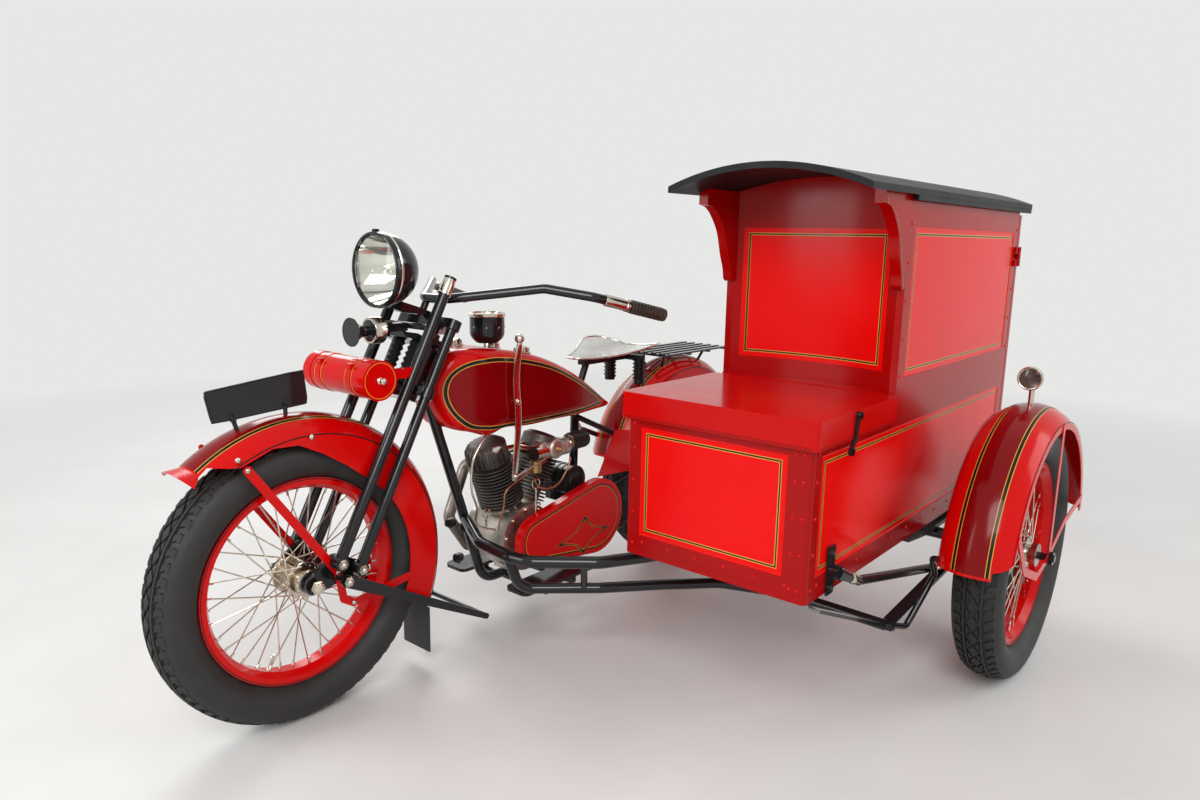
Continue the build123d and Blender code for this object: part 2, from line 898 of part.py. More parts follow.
def stay(points, y_low, y_high, width=stay_width):
    """Adds a flat mudguard stay, bent in its own plane along a run of X and Z points."""
    for (x0, z0), (x1, z1) in zip(points, points[1:]):
        angle = atan2(z1 - z0, x1 - x0)
        with BuildSketch(side_plane(y_high)) as face:
            with Locations(Location(((x0 + x1) / 2, (z0 + z1) / 2, 0), (0, 0, degrees(angle)))):
                SlotCenterToCenter(hypot(x1 - x0, z1 - z0), width)
        extrude(face.sketch, amount=y_high - y_low)


with BuildPart() as front_mudguard:
    guard_channel(
        front_axle_x,
        bike_y,
        guard_radius,
        guard_half_width,
        valance_radius,
        guard_front_angle,
        guard_rear_angle,
    )
    crown_lip(front_axle_x, bike_y, guard_radius, guard_half_width, guard_front_angle)
    trim = [wheel_point(front_axle_x, radius, angle) for radius, angle in valance_trim]
    plate(trim, bike_y - 2 * guard_half_width, bike_y + 2 * guard_half_width, mode=Mode.SUBTRACT)
    for side in (-1, 1):
        near = bike_y + side * guard_half_width
        far = near + side * stay_thickness
        front_run = [(front_axle_x + x, z) for x, z in front_stay_run]
        stay(front_run, min(near, far), max(near, far))
    for side in (-1, 1):
        for forward, up in ((stand_bolt_forward, -stand_bolt_drop), (spring_leg_forward, pivot_up)):
            rod(
                fork_point(forward, side * (guard_half_width - 1), up),
                fork_point(forward, side * (guard_half_width + stay_thickness + 1), up),
                rocker_pin_radius + running_gap,
                mode=Mode.SUBTRACT,
            )
    block((flap_x - 9, bike_y - 32, 174), (flap_x, bike_y + 32, 190))
save(front_mudguard, "front_mudguard")

with BuildPart() as mud_flap:
    flap_front = flap_x + seat_gap
    block((flap_front, bike_y - 40, 150), (flap_front + flap_thickness, bike_y + 40, 188))
    block(
        (flap_front, bike_y - flap_half_width, flap_bottom_z),
        (flap_front + flap_thickness, bike_y + flap_half_width, 168),
    )
save(mud_flap, "mud_flap")

with BuildPart() as rear_mudguard:
    guard_channel(
        rear_axle_x,
        bike_y,
        rear_guard_radius,
        guard_half_width,
        rear_valance_radius,
        rear_guard_front,
        rear_guard_rear,
    )
    for side in (-1, 1):
        rod(
            (guard_stud_x, bike_y + side * (guard_half_width - 1), guard_stud_z),
            (guard_stud_x, bike_y + side * (rear_fork_y - stay_tube_radius - seat_gap), guard_stud_z),
            8,
        )
save(rear_mudguard, "rear_mudguard")

with BuildPart() as sidecar_mudguard:
    guard_channel(
        sidecar_axle_x,
        sidecar_wheel_y,
        sidecar_guard_radius,
        sidecar_guard_half_width,
        sidecar_valance_radius,
        sidecar_guard_front,
        sidecar_guard_rear,
    )
    corner = [wheel_point(sidecar_axle_x, radius, angle) for radius, angle in sidecar_corner_trim]
    near = sidecar_wheel_y + sidecar_guard_half_width
    plate(corner, sidecar_wheel_y + sidecar_corner_start, near + 1, mode=Mode.SUBTRACT)
    band_run = [wheel_point(sidecar_axle_x, radius, angle) for radius, angle in sidecar_band_run]
    stay(band_run, near, near + stay_thickness)
    upright_run = [wheel_point(sidecar_axle_x, sidecar_guard_radius - 50, 90), (sidecar_axle_x, axle_height)]
    stay(upright_run, near, near + stay_thickness)
    with Locations(Location((sidecar_axle_x, near, axle_height), (90, 0, 0))):
        Cylinder(axle_radius + running_gap, 4 * stay_width, mode=Mode.SUBTRACT)
save(sidecar_mudguard, "sidecar_mudguard")


# Fork fittings: headlamp, horn, tool canister, number plate


def dome_arc(rim_x, rim_radius_here, pole_x, line_z):
    """Adds the arc of a dome from its rim to its pole, on a sphere whose centre is on the line."""
    depth = pole_x - rim_x
    ball = (depth * depth + rim_radius_here * rim_radius_here) / (2 * abs(depth))
    sign = 1 if depth > 0 else -1
    centre = pole_x - sign * ball
    half_angle = atan2(rim_radius_here, sign * (rim_x - centre)) / 2
    ThreePointArc(
        (rim_x, line_z + rim_radius_here),
        (centre + sign * ball * cos(half_angle), line_z + ball * sin(half_angle)),
        (pole_x, line_z),
    )


with BuildPart() as headlamp:
    rim_back_x = lamp_face_x - lamp_rim
    with BuildSketch(side_plane(bike_y)) as face:
        with BuildLine():
            Polyline(
                (lamp_face_x - lamp_depth, lamp_z),
                (lamp_face_x - lamp_depth + lamp_wall, lamp_z),
            )
            dome_arc(rim_back_x, lamp_radius - lamp_wall, lamp_face_x - lamp_depth + lamp_wall, lamp_z)
            Polyline(
                (rim_back_x, lamp_z + lamp_radius - lamp_wall),
                (lamp_face_x, lamp_z + lamp_radius - lamp_wall),
                (lamp_face_x, lamp_z + lamp_radius),
                (rim_back_x, lamp_z + lamp_radius),
            )
            dome_arc(rim_back_x, lamp_radius, lamp_face_x - lamp_depth, lamp_z)
        make_face()
    revolve(face.sketch, axis=Axis((0, bike_y, lamp_z), (1, 0, 0)))
    crown_top = upper_crown_low + crown_thickness + seat_gap
    foot_back = fork_point(24, 0, crown_top)
    foot_front = fork_point(46, 0, crown_top)
    foot_rise = fork_point(24, 0, crown_top + 14)
    outline = (
        (foot_back[0], foot_back[2]),
        (foot_front[0], foot_front[2]),
        (lamp_face_x - 72, lamp_z - 106),
        (lamp_face_x - 30, lamp_z - lamp_radius + 3),
        (lamp_face_x - 62, lamp_z - lamp_radius * 0.84),
        (lamp_face_x - 130, lamp_z - 97),
        (foot_rise[0], foot_rise[2]),
    )
    plate(outline, bike_y - lamp_bracket_half, bike_y + lamp_bracket_half)
save(headlamp, "headlamp")

with BuildPart() as headlamp_lens:
    lens_radius = lamp_radius - lamp_wall - seat_gap
    with BuildSketch(side_plane(bike_y)) as face:
        with BuildLine():
            Polyline(
                (lamp_face_x + 6, lamp_z),
                (lamp_face_x - 10, lamp_z),
                (lamp_face_x - 10, lamp_z + lens_radius),
                (lamp_face_x - 4, lamp_z + lens_radius),
            )
            dome_arc(lamp_face_x - 4, lens_radius, lamp_face_x + 6, lamp_z)
        make_face()
    revolve(face.sketch, axis=Axis((0, bike_y, lamp_z), (1, 0, 0)))
save(headlamp_lens, "headlamp_lens")

with BuildPart() as horn:
    with BuildSketch(side_plane(bike_y)) as face:
        outline = [(x, horn_z + radius) for x, radius in horn_profile]
        Polygon((horn_profile[0][0], horn_z), *outline, (horn_profile[-1][0], horn_z), align=None)
    revolve(face.sketch, axis=Axis((0, bike_y, horn_z), (1, 0, 0)))
    bar_x, _, bar_z = fork_point(spring_leg_forward, 0, lamp_bar_up)
    block(
        (bar_x + lamp_bar_radius + seat_gap, bike_y - 16, bar_z - 12),
        (horn_profile[0][0] + 4, bike_y + 16, bar_z + 8),
    )
save(horn, "horn")

with BuildPart() as tool_canister:
    rod(
        (canister_x, bike_y - canister_half_length, canister_z),
        (canister_x, bike_y + canister_half_length, canister_z),
        canister_radius,
    )
    for side in (-1, 1):
        rod(
            (canister_x, bike_y + side * (canister_half_length - 26), canister_z),
            (canister_x, bike_y + side * (canister_half_length + 3), canister_z),
            canister_radius + 1.5,
        )
        leg_front = spring_leg_forward + spring_leg_radius + seat_gap
        low_x, _, low_z = fork_point(leg_front, 0, canister_foot_up)
        high_x, _, high_z = fork_point(leg_front, 0, canister_foot_up + 26)
        outline = ((low_x, low_z), (high_x, high_z), (canister_x - 20, high_z), (canister_x - 20, low_z))
        plate(outline, bike_y + side * fork_leg_y - 9, bike_y + side * fork_leg_y + 9)
save(tool_canister, "tool_canister")

with BuildPart() as number_plate:
    plate(number_plate_outline, bike_y - 1.5, bike_y + 1.5)
    for angle in number_plate_stud_angles:
        foot = wheel_point(front_axle_x, guard_radius + seat_gap, angle)
        head = wheel_point(front_axle_x, guard_radius + 38, angle)
        rod((foot[0], bike_y, foot[1]), (head[0], bike_y, head[1]), 5)
save(number_plate, "number_plate")


# Stands


def stand_leg(y_low, y_high, pivot, end, pivot_width, end_width):
    """Adds a flat stand leg between two y values, tapering from its pivot to its end."""
    with BuildSketch(side_plane(y_high)) as face:
        with Locations(pivot):
            Circle(pivot_width / 2)
        with Locations(end):
            Circle(end_width / 2)
        make_hull()
    extrude(face.sketch, amount=y_high - y_low)


bolt_x, _, bolt_z = fork_point(stand_bolt_forward, 0, -stand_bolt_drop)
with BuildPart() as front_stand:
    for side in (-1, 1):
        inner = bike_y + side * stand_leg_y
        outer = bike_y + side * (stand_leg_y + stand_leg_thickness)
        stand_leg(
            min(inner, outer),
            max(inner, outer),
            (bolt_x, bolt_z),
            front_stand_end,
            stand_leg_width,
            stand_end_width,
        )
        rod(
            (bolt_x, inner - side, bolt_z),
            (bolt_x, outer + side, bolt_z),
            rocker_pin_radius + running_gap,
            Mode.SUBTRACT,
        )
    rod(
        (front_stand_end[0], bike_y - stand_leg_y - 2, front_stand_end[1]),
        (front_stand_end[0], bike_y + stand_leg_y + 2, front_stand_end[1]),
        stand_bar_radius,
    )
save(front_stand, "front_stand")

with BuildPart() as rear_stand:
    rear_end_x = rear_axle_x - rear_stand_length * cos(radians(rear_stand_angle))
    rear_end_z = axle_height + rear_stand_length * sin(radians(rear_stand_angle))
    for side in (-1, 1):
        inner = bike_y + side * rear_stand_leg_y
        outer = bike_y + side * (rear_stand_leg_y + stand_leg_thickness)
        stand_leg(
            min(inner, outer),
            max(inner, outer),
            (rear_axle_x, axle_height),
            (rear_end_x, rear_end_z),
            stand_leg_width + 10,
            stand_end_width,
        )
        rod(
            (rear_axle_x, inner - side, axle_height),
            (rear_axle_x, outer + side, axle_height),
            axle_radius + running_gap,
            Mode.SUBTRACT,
        )
    rod(
        (rear_end_x, bike_y - rear_stand_leg_y - 2, rear_end_z),
        (rear_end_x, bike_y + rear_stand_leg_y + 2, rear_end_z),
        stand_bar_radius,
    )
save(rear_stand, "rear_stand")


# Motorcycle frame, engine and tank

with BuildPart() as frame:
    rod(fork_point(0, 0, head_bottom), fork_point(0, 0, head_top), head_radius)
    head_low_x, _, head_low_z = fork_point(0, 0, down_tube_up)
    head_high = fork_point(0, 0, top_tube_up)
    loop = (
        (head_low_x, bike_y, head_low_z),
        (296.0, bike_y, 355.0),
        (232.0, bike_y, cradle_z),
        (seat_tube_x, bike_y, cradle_z),
        (lug_x, bike_y, lug_z),
    )
    pipe(loop, down_tube_radius, 60)
    rod(head_high, (lug_x, bike_y, lug_z), top_tube_radius)
    rod(
        fork_point(0, 0, head_bottom - 1),
        fork_point(0, 0, head_top + 1),
        stem_radius + running_gap,
        Mode.SUBTRACT,
    )
    rod((lug_x, bike_y - 24, lug_z), (lug_x, bike_y + 24, lug_z), lug_radius)
    for side in (-1, 1):
        upper = (
            (lug_x + 2, bike_y + side * 8, stay_top_z),
            (-292.0, bike_y + side * rear_fork_y, 512.0),
            (rear_axle_x + 6, bike_y + side * rear_fork_y, axle_height + 8),
        )
        lower = (
            (seat_tube_x + 6, bike_y + side * 6, cradle_z + 12),
            (-300.0, bike_y + side * rear_fork_y, 215.0),
            (rear_axle_x + 6, bike_y + side * rear_fork_y, axle_height - 2),
        )
        pipe(upper, stay_tube_radius, 50)
        pipe(lower, stay_tube_radius, 50)
        rod(
            (rear_axle_x, bike_y + side * (hub_half_length + seat_gap), axle_height),
            (rear_axle_x, bike_y + side * (rear_fork_y + 12), axle_height),
            axle_radius + 8,
        )
    rod(
        (rear_axle_x, bike_y - rear_axle_half_length, axle_height),
        (rear_axle_x, bike_y + rear_axle_half_length, axle_height),
        axle_radius,
    )
save(frame, "frame")


def cylinder_plane(lean):
    """Gives the plane through a cylinder's line whose X is out from it and whose Y is up along it."""
    out = (cos(radians(lean)), 0, -sin(radians(lean)))
    return Plane(origin=(crank_x, bike_y, crank_z), x_dir=out, z_dir=(0, -1, 0))


def cylinder_point(lean, along):
    """Gives the point at a distance along a cylinder's line from the crankshaft."""
    return (crank_x + along * sin(radians(lean)), bike_y, crank_z + along * cos(radians(lean)))


def engine_cylinder(lean, keep):
    """Adds a finned cylinder with its head, cut off where it meets the other one."""
    with BuildSketch(cylinder_plane(lean)) as face:
        points = [(0, cylinder_base), (cylinder_radius, cylinder_base)]
        for fin in range(fin_count):
            low = cylinder_base + 10 + fin * fin_pitch
            radius = cylinder_fin_radius
            points += [
                (cylinder_radius, low),
                (radius, low),
                (radius, low + fin_thickness),
                (cylinder_radius, low + fin_thickness),
            ]
        head_low = cylinder_base + 10 + fin_count * fin_pitch
        points += [
            (cylinder_radius, head_low),
            (cylinder_fin_radius - 8, head_low),
            (cylinder_fin_radius - 8, head_low + head_height - 12),
            (cylinder_fin_radius - 24, head_low + head_height),
            (0, head_low + head_height),
        ]
        Polygon(*points, align=None)
    revolve(face.sketch, axis=Axis(cylinder_point(lean, 0), (sin(radians(lean)), 0, cos(radians(lean)))))
    middle = radians((front_cylinder_lean + rear_cylinder_lean) / 2)
    ahead = (cos(middle), -sin(middle))
    along = (sin(middle), cos(middle))
    corners = ((cylinder_gap, -50), (cylinder_gap, 420), (-400, 420), (-400, -50))
    outline = [
        (
            crank_x + keep * out * ahead[0] + up * along[0],
            crank_z + keep * out * ahead[1] + up * along[1],
        )
        for out, up in corners
    ]
    plate(outline, bike_y - 200, bike_y + 200, mode=Mode.SUBTRACT)


with BuildPart() as front_cylinder:
    engine_cylinder(front_cylinder_lean, 1)
save(front_cylinder, "front_cylinder")

with BuildPart() as rear_cylinder:
    engine_cylinder(rear_cylinder_lean, -1)
save(rear_cylinder, "rear_cylinder")

with BuildPart() as engine_crankcase:
    rod(
        (crank_x, bike_y - case_half_width, crank_z),
        (crank_x, bike_y + case_half_width, crank_z),
        case_radius,
    )
    with BuildSketch(side_plane(bike_y - case_half_width + 1)) as face:
        for x, z, radius in timing_circles:
            with Locations((x, z)):
                Circle(radius)
        make_hull()
    extrude(face.sketch, amount=timing_cover_depth + 1)
    for lean in (front_cylinder_lean, rear_cylinder_lean):
        rod(cylinder_point(lean, 0), cylinder_point(lean, cylinder_base - seat_gap), case_neck_radius)
    block(
        (crank_x - 40, bike_y - 30, cradle_z + down_tube_radius + seat_gap),
        (crank_x + 40, bike_y + 30, crank_z - case_radius + 20),
    )
save(engine_crankcase, "engine_crankcase")

with BuildPart() as carburettor:
    rod((carb_x, bike_y, carb_z), (carb_x, bike_y + carb_y, carb_z), 14)
    rod((carb_x - 60, bike_y, carb_z), (carb_x + 60, bike_y, carb_z), 12)
    rod((carb_x + 14, bike_y + carb_y, carb_z), (0, bike_y + carb_y, carb_z), 22)
    rod((0, bike_y + carb_y, carb_z), (-34, bike_y + carb_y, carb_z + 4), 15)
    rod((-30, bike_y + carb_y, carb_z + 10), (-105, bike_y + carb_y, carb_z + 10), 24)
    for lean in (front_cylinder_lean, rear_cylinder_lean):
        rod(
            cylinder_point(lean, cylinder_base),
            cylinder_point(lean, cylinder_base + 260),
            cylinder_fin_radius + seat_gap,
            Mode.SUBTRACT,
        )
save(carburettor, "carburettor")

with BuildPart() as generator:
    rod((generator_x, bike_y - 62, generator_z), (generator_x, bike_y + 62, generator_z), generator_radius)
    block((generator_x - 22, bike_y - 40, 330), (generator_x + 22, bike_y + 40, generator_z))
save(generator, "generator")

shaft_x, shaft_z, _ = gearbox_circles[0]
with BuildPart() as gearbox:
    with BuildSketch(side_plane(bike_y + gearbox_half_width)) as face:
        for x, z, radius in gearbox_circles:
            with Locations((x, z)):
                Circle(radius)
        make_hull()
    extrude(face.sketch, amount=2 * gearbox_half_width)
    block((-200, bike_y - 12, 252), (-167.9, bike_y + 12, 272))
    rod(
        (shaft_x, bike_y + gearbox_half_width - 1, shaft_z),
        (shaft_x, bike_y + guard_inner_y - seat_gap, shaft_z),
        28,
    )
    rod(
        (shaft_x, bike_y + chain_inner_y + sprocket_inset, shaft_z),
        (shaft_x, bike_y + chain_outer_y - sprocket_inset, shaft_z),
        front_sprocket_radius,
    )
save(gearbox, "gearbox")

with BuildPart() as rear_sprocket:
    disc_y = bike_y + chain_inner_y + sprocket_inset
    rod(
        (rear_axle_x, bike_y + hub_half_length + seat_gap, axle_height),
        (rear_axle_x, disc_y + 1, axle_height),
        hub_cap_radius,
    )
    rod(
        (rear_axle_x, disc_y, axle_height),
        (rear_axle_x, bike_y + chain_outer_y - sprocket_inset, axle_height),
        sprocket_radius,
    )
    rod(
        (rear_axle_x, bike_y, axle_height),
        (rear_axle_x, bike_y + 2 * chain_outer_y, axle_height),
        sprocket_bore,
        Mode.SUBTRACT,
    )
save(rear_sprocket, "rear_sprocket")

with BuildPart() as drive_chain:
    for depth, mode in ((chain_depth, Mode.ADD), (0, Mode.SUBTRACT)):
        with BuildSketch(side_plane(bike_y + chain_outer_y)) as face:
            with Locations((shaft_x, shaft_z)):
                Circle(front_sprocket_radius + seat_gap + depth)
            with Locations((rear_axle_x, axle_height)):
                Circle(sprocket_radius + chain_gap + depth)
            make_hull()
        extrude(face.sketch, amount=chain_outer_y - chain_inner_y, mode=mode)
save(drive_chain, "drive_chain")

with BuildPart() as chain_guard:
    guard_y = bike_y + rear_fork_y + stay_tube_radius + seat_gap
    plate(chain_guard_outline, guard_y, guard_y + chain_guard_thickness)
save(chain_guard, "chain_guard")

with BuildPart() as primary_guard:
    with BuildSketch(side_plane(bike_y + guard_outer_y)) as face:
        with Locations((crank_x, crank_z)):
            Circle(primary_front_radius)
        with Locations((clutch_x, clutch_z)):
            Circle(primary_rear_radius)
        make_hull()
    extrude(face.sketch, amount=guard_outer_y - guard_inner_y)
save(primary_guard, "primary_guard")

with BuildPart() as exhaust:
    side_y = bike_y - exhaust_y
    front_pipe = (
        (192.0, bike_y - 58, 486.0),
        (196.0, side_y, 486.0),
        (266.0, side_y, 330.0),
        (190.0, side_y, exhaust_z),
        (-210.0, side_y, exhaust_z),
        (-300.0, side_y - 36, exhaust_z),
        (-330.0, side_y - 36, exhaust_z),
    )
    pipe(front_pipe, exhaust_radius, 26)
    rear_pipe = ((10.0, bike_y - 56, 468.0), (10.0, side_y, 468.0), (-40.0, side_y, exhaust_z))
    pipe(rear_pipe, exhaust_radius, 26)
    rod((-300.0, side_y - 36, exhaust_z), (-600.0, side_y - 36, exhaust_z), muffler_radius)
    for lean in (front_cylinder_lean, rear_cylinder_lean):
        rod(
            cylinder_point(lean, cylinder_base),
            cylinder_point(lean, cylinder_base + 260),
            cylinder_fin_radius + seat_gap,
            Mode.SUBTRACT,
        )
save(exhaust, "exhaust")

with BuildPart() as fuel_tank:
    for x, low_z, high_z, half_width, edge_round in tank_sections:
        with BuildSketch(Plane.YZ.offset(x)):
            with Locations((bike_y, (low_z + high_z) / 2)):
                RectangleRounded(2 * half_width, high_z - low_z, edge_round)
    loft()
    top_start = Vector(*fork_point(0, 0, top_tube_up))
    run = Vector(lug_x, bike_y, lug_z) - top_start
    rise = Vector(-run.Z, 0, run.X).normalized() * (top_tube_radius + seat_gap)
    if rise.Z < 0:
        rise = rise * -1
    front = top_start - run * 0.2 + rise
    back = top_start + run * 1.4 + rise
    slot = ((front.X, front.Z), (back.X, back.Z), (back.X, 300.0), (front.X, 300.0))
    plate(slot, bike_y - tank_slot_half, bike_y + tank_slot_half, mode=Mode.SUBTRACT)
    tail_x = tank_sections[-1][0] - 20
    block(
        (tail_x, bike_y - tank_slot_half, 590),
        (lug_x + 26, bike_y + tank_slot_half, 780),
        mode=Mode.SUBTRACT,
    )
    block((lug_x - 28, bike_y - 27, 590), (lug_x + 28, bike_y + 27, lug_z + 26), mode=Mode.SUBTRACT)
    rod(fork_point(0, 0, 300), fork_point(0, 0, 700), head_radius + tank_head_gap, Mode.SUBTRACT)
save(fuel_tank, "fuel_tank")

with BuildPart() as gear_lever:
    bar((gear_x + 19, bike_y + gear_y, 480), (gear_x, bike_y + gear_y, gear_top_z), 5, 16)
    rod(
        (gear_x + 8, bike_y + tank_half_width + lever_stud_gap, 700),
        (gear_x + 8, bike_y + gear_y + 2, 700),
        7,
    )
    rod((gear_x, bike_y + gear_y, gear_top_z - 12), (gear_x, bike_y + gear_y, gear_top_z + 12), 12)
save(gear_lever, "gear_lever")

with BuildPart() as saddle:
    with BuildSketch(Plane.XY.offset(saddle_low_z - 20)) as face:
        for x, y, radius in saddle_circles:
            with Locations((x, bike_y + y), (x, bike_y - y)):
                Circle(radius)
        make_hull()
    extrude(face.sketch, amount=110)
    middle_z = saddle_low_z + pan_hollow[2]
    place = Location((pan_middle_x, bike_y, middle_z), (0, saddle_tilt, 0))
    for grow, mode in ((pan_thickness, Mode.INTERSECT), (0, Mode.SUBTRACT)):
        ball = Solid.make_sphere(100, angle1=-90, angle2=90, angle3=360)
        dish = ball.scale(tuple((axis + grow) / 100 for axis in pan_hollow))
        add(dish.moved(place), mode=mode)
save(saddle, "saddle")

pan_drop = hypot(
    (pan_hollow[0] + pan_thickness) * sin(radians(saddle_tilt)),
    (pan_hollow[2] + pan_thickness) * cos(radians(saddle_tilt)),
)
seat_bar_z = saddle_low_z + pan_hollow[2] - pan_drop
with BuildPart() as saddle_post:
    lug = Vector(lug_x, bike_y, lug_z)
    post_top = Vector(-215.0, bike_y, seat_bar_z - 12)
    post_foot = lug + (post_top - lug).normalized() * (lug_radius + seat_gap)
    rod(tuple(post_foot), tuple(post_top), 11)
    block((-420, bike_y - 14, seat_bar_z - 18), (-190, bike_y + 14, seat_bar_z - seat_gap))
    block((-424, bike_y - 76, seat_bar_z - 18), (-396, bike_y + 76, seat_bar_z - seat_gap))
    for side in (-1, 1):
        rod((-410, bike_y + side * 62, seat_bar_z - 96), (-410, bike_y + side * 62, seat_bar_z - 12), 17)
save(saddle_post, "saddle_post")

with BuildPart() as luggage_rack:
    for share in (-1, -0.6, -0.2, 0.2, 0.6, 1):
        y = bike_y + share * (rack_half_width - rack_bar_half)
        block((rack_rear_x, y - rack_bar_half, rack_z), (rack_front_x, y + rack_bar_half, rack_z + 6))
    for x in (rack_rear_x + 6, rack_rear_x + 120, rack_rear_x + 240, rack_front_x - 6):
        low_y, high_y = bike_y - rack_half_width, bike_y + rack_half_width
        block((x - rack_bar_half, low_y, rack_z - 6), (x + rack_bar_half, high_y, rack_z))
    for angle, spread in product((72, 106), (-22, 22)):
        middle_x, middle_z = wheel_point(rear_axle_x, rear_guard_radius - crown_arc_radius, angle)
        low_reach = (crown_arc_radius + seat_gap) * cos(radians(spread))
        low_x, low_z = middle_x + low_reach * cos(radians(angle)), middle_z + low_reach * sin(radians(angle))
        low_y = bike_y + (crown_arc_radius + seat_gap) * sin(radians(spread))
        grow = (rack_z - low_z) / (low_z - middle_z)
        rod(
            (low_x, low_y, low_z),
            (low_x + grow * (low_x - middle_x), low_y + grow * (low_y - bike_y), rack_z),
            5,
        )
save(luggage_rack, "luggage_rack")

with BuildPart() as footboards:
    for side in (-1, 1):
        inner, outer = bike_y + side * 88, bike_y + side * 175
        with BuildSketch(Plane.XY.offset(152)) as face:
            with Locations((75, (inner + outer) / 2)):
                RectangleRounded(310, 87, 20)
        extrude(face.sketch, amount=10)
        for x in (20, 130):
            block((x - 10, min(inner, outer) + 8, 130), (x + 10, max(inner, outer) - 8, 153))
    cross_z = cradle_z - down_tube_radius - 8 - seat_gap
    for x in (20, 130):
        rod((x, bike_y - 160, cross_z), (x, bike_y + 160, cross_z), 8)
save(footboards, "footboards")


# Sidecar chassis

with BuildPart() as sidecar_frame:
    upper = [(x, bike_y + y, z) for x, y, z in upper_tube_path]
    pipe(upper, chassis_tube_radius, 60)
    lower = [(x, bike_y + y, z) for x, y, z in lower_tube_path]
    pipe(lower, lower_tube_radius, 50)
    rod(
        (rear_tie_x, bike_y + rear_fork_y + stay_tube_radius + seat_gap + 0.45, rear_tie_z),
        (rear_tie_x, inner_rail_y, chassis_z),
        chassis_tube_radius - 2,
    )
    for x0, y0, z0, x1, y1, z1 in truss_bars:
        bar((x0, bike_y + y0, z0), (x1, bike_y + y1, z1), 8, 30)
    rod((-142, outer_spring_y, 221), (-142, van_outer_y + 53, 221), 12)
    post_top, post_foot = [(x, bike_y + y, z) for x, y, z in tube_post]
    rod(post_top, post_foot, tube_post_radius)
    plate_y = van_outer_y + seat_gap
    block(
        (corner_plate_x[0], plate_y, corner_plate_z[0]),
        (corner_plate_x[1], plate_y + corner_plate_thickness, corner_plate_z[1]),
    )
    root_x, root_y, root_z = spigot_root
    rod((root_x, plate_y, root_z), (root_x, root_y + 8, root_z), spigot_radii[0] + 2)
    taper_rod(spigot_root, spigot_tip, spigot_radii)
    rod(spigot_tip, body_stay_end, body_stay_radius)
    pipe(guard_stay_path, guard_stay_radius, 14)
save(sidecar_frame, "sidecar_frame")

with BuildPart() as sidecar_axle:
    rod(
        (sidecar_axle_x, inner_rail_y + chassis_tube_radius + seat_gap, axle_height),
        (sidecar_axle_x, sidecar_wheel_y - hub_half_length - seat_gap, axle_height),
        beam_radius,
    )
    rod(
        (sidecar_axle_x, sidecar_wheel_y - 112, axle_height),
        (sidecar_axle_x, sidecar_wheel_y + 100, axle_height),
        axle_radius,
    )
    outer_y = sidecar_wheel_y + sidecar_guard_half_width + stay_thickness + seat_gap
    rod((sidecar_axle_x, outer_y, axle_height), (sidecar_axle_x, outer_y + 10, axle_height), 17)
save(sidecar_axle, "sidecar_axle")

with BuildPart() as body_springs:
    middle_x = (spring_front_x + spring_rear_x) / 2
    half = (spring_front_x - spring_rear_x) / 2
    seat_z = axle_height + beam_radius
    for y in (inner_rail_y, outer_spring_y):
        outline = (
            (middle_x - half, van_floor_z - seat_gap),
            (middle_x - half, van_floor_z - 8),
            (middle_x - half * 0.5, van_floor_z - 22),
            (middle_x - 30, seat_z + seat_gap),
            (middle_x + 30, seat_z + seat_gap),
            (middle_x + half * 0.5, van_floor_z - 22),
            (middle_x + half, van_floor_z - 8),
            (middle_x + half, van_floor_z - seat_gap),
            (middle_x + half * 0.5, van_floor_z - 9),
            (middle_x, van_floor_z - 12),
            (middle_x - half * 0.5, van_floor_z - 9),
        )
        plate(outline, y - 22, y + 22)
save(body_springs, "body_springs")

with BuildPart() as marker_lamp:
    with BuildSketch(side_plane(sidecar_wheel_y)) as face:
        Polygon(*[(sidecar_axle_x + x, marker_z + radius) for x, radius in marker_profile], align=None)
    revolve(face.sketch, axis=Axis((0, sidecar_wheel_y, marker_z), (1, 0, 0)))
    rod(
        (sidecar_axle_x, sidecar_wheel_y, axle_height + sidecar_guard_radius + seat_gap),
        (sidecar_axle_x, sidecar_wheel_y, marker_z),
        marker_stem_radius,
    )
save(marker_lamp, "marker_lamp")


# Sidecar van

van_middle_y = (van_inner_y + van_outer_y) / 2
van_half = (van_outer_y - van_inner_y) / 2
roof_half = van_half + roof_overhang
roof_arc_radius = (roof_half**2 + roof_crown**2) / (2 * roof_crown)
roof_arc_z = roof_low_z + roof_crown - roof_arc_radius


def trim_to_roof():
    """Cuts a piece off just under the arch of the roof's underside."""
    with BuildSketch(Plane.YZ.offset(roof_rear_x)) as face:
        with Locations((van_middle_y, roof_low_z + 2 * roof_crown)):
            Rectangle(2 * roof_half, 6 * roof_crown)
        with Locations((van_middle_y, roof_arc_z)):
            Circle(roof_arc_radius - seat_gap, mode=Mode.SUBTRACT)
    extrude(face.sketch, amount=roof_front_x - roof_rear_x, mode=Mode.SUBTRACT)


with BuildPart() as van_floor:
    with BuildSketch(Plane.XY.offset(van_floor_z)) as face:
        with BuildLine():
            Polyline(
                (chest_front_x - corner_round, van_outer_y),
                (cabinet_rear_x, van_outer_y),
                (cabinet_rear_x, van_inner_y),
                (chest_front_x - corner_round, van_inner_y),
            )
            RadiusArc(
                (chest_front_x - corner_round, van_inner_y),
                (chest_front_x, van_inner_y + corner_round),
                -corner_round,
            )
            Polyline((chest_front_x, van_inner_y + corner_round), (chest_front_x, van_outer_y - corner_round))
            RadiusArc(
                (chest_front_x, van_outer_y - corner_round),
                (chest_front_x - corner_round, van_outer_y),
                -corner_round,
            )
        make_face()
    extrude(face.sketch, amount=floor_thickness)
save(van_floor, "van_floor")

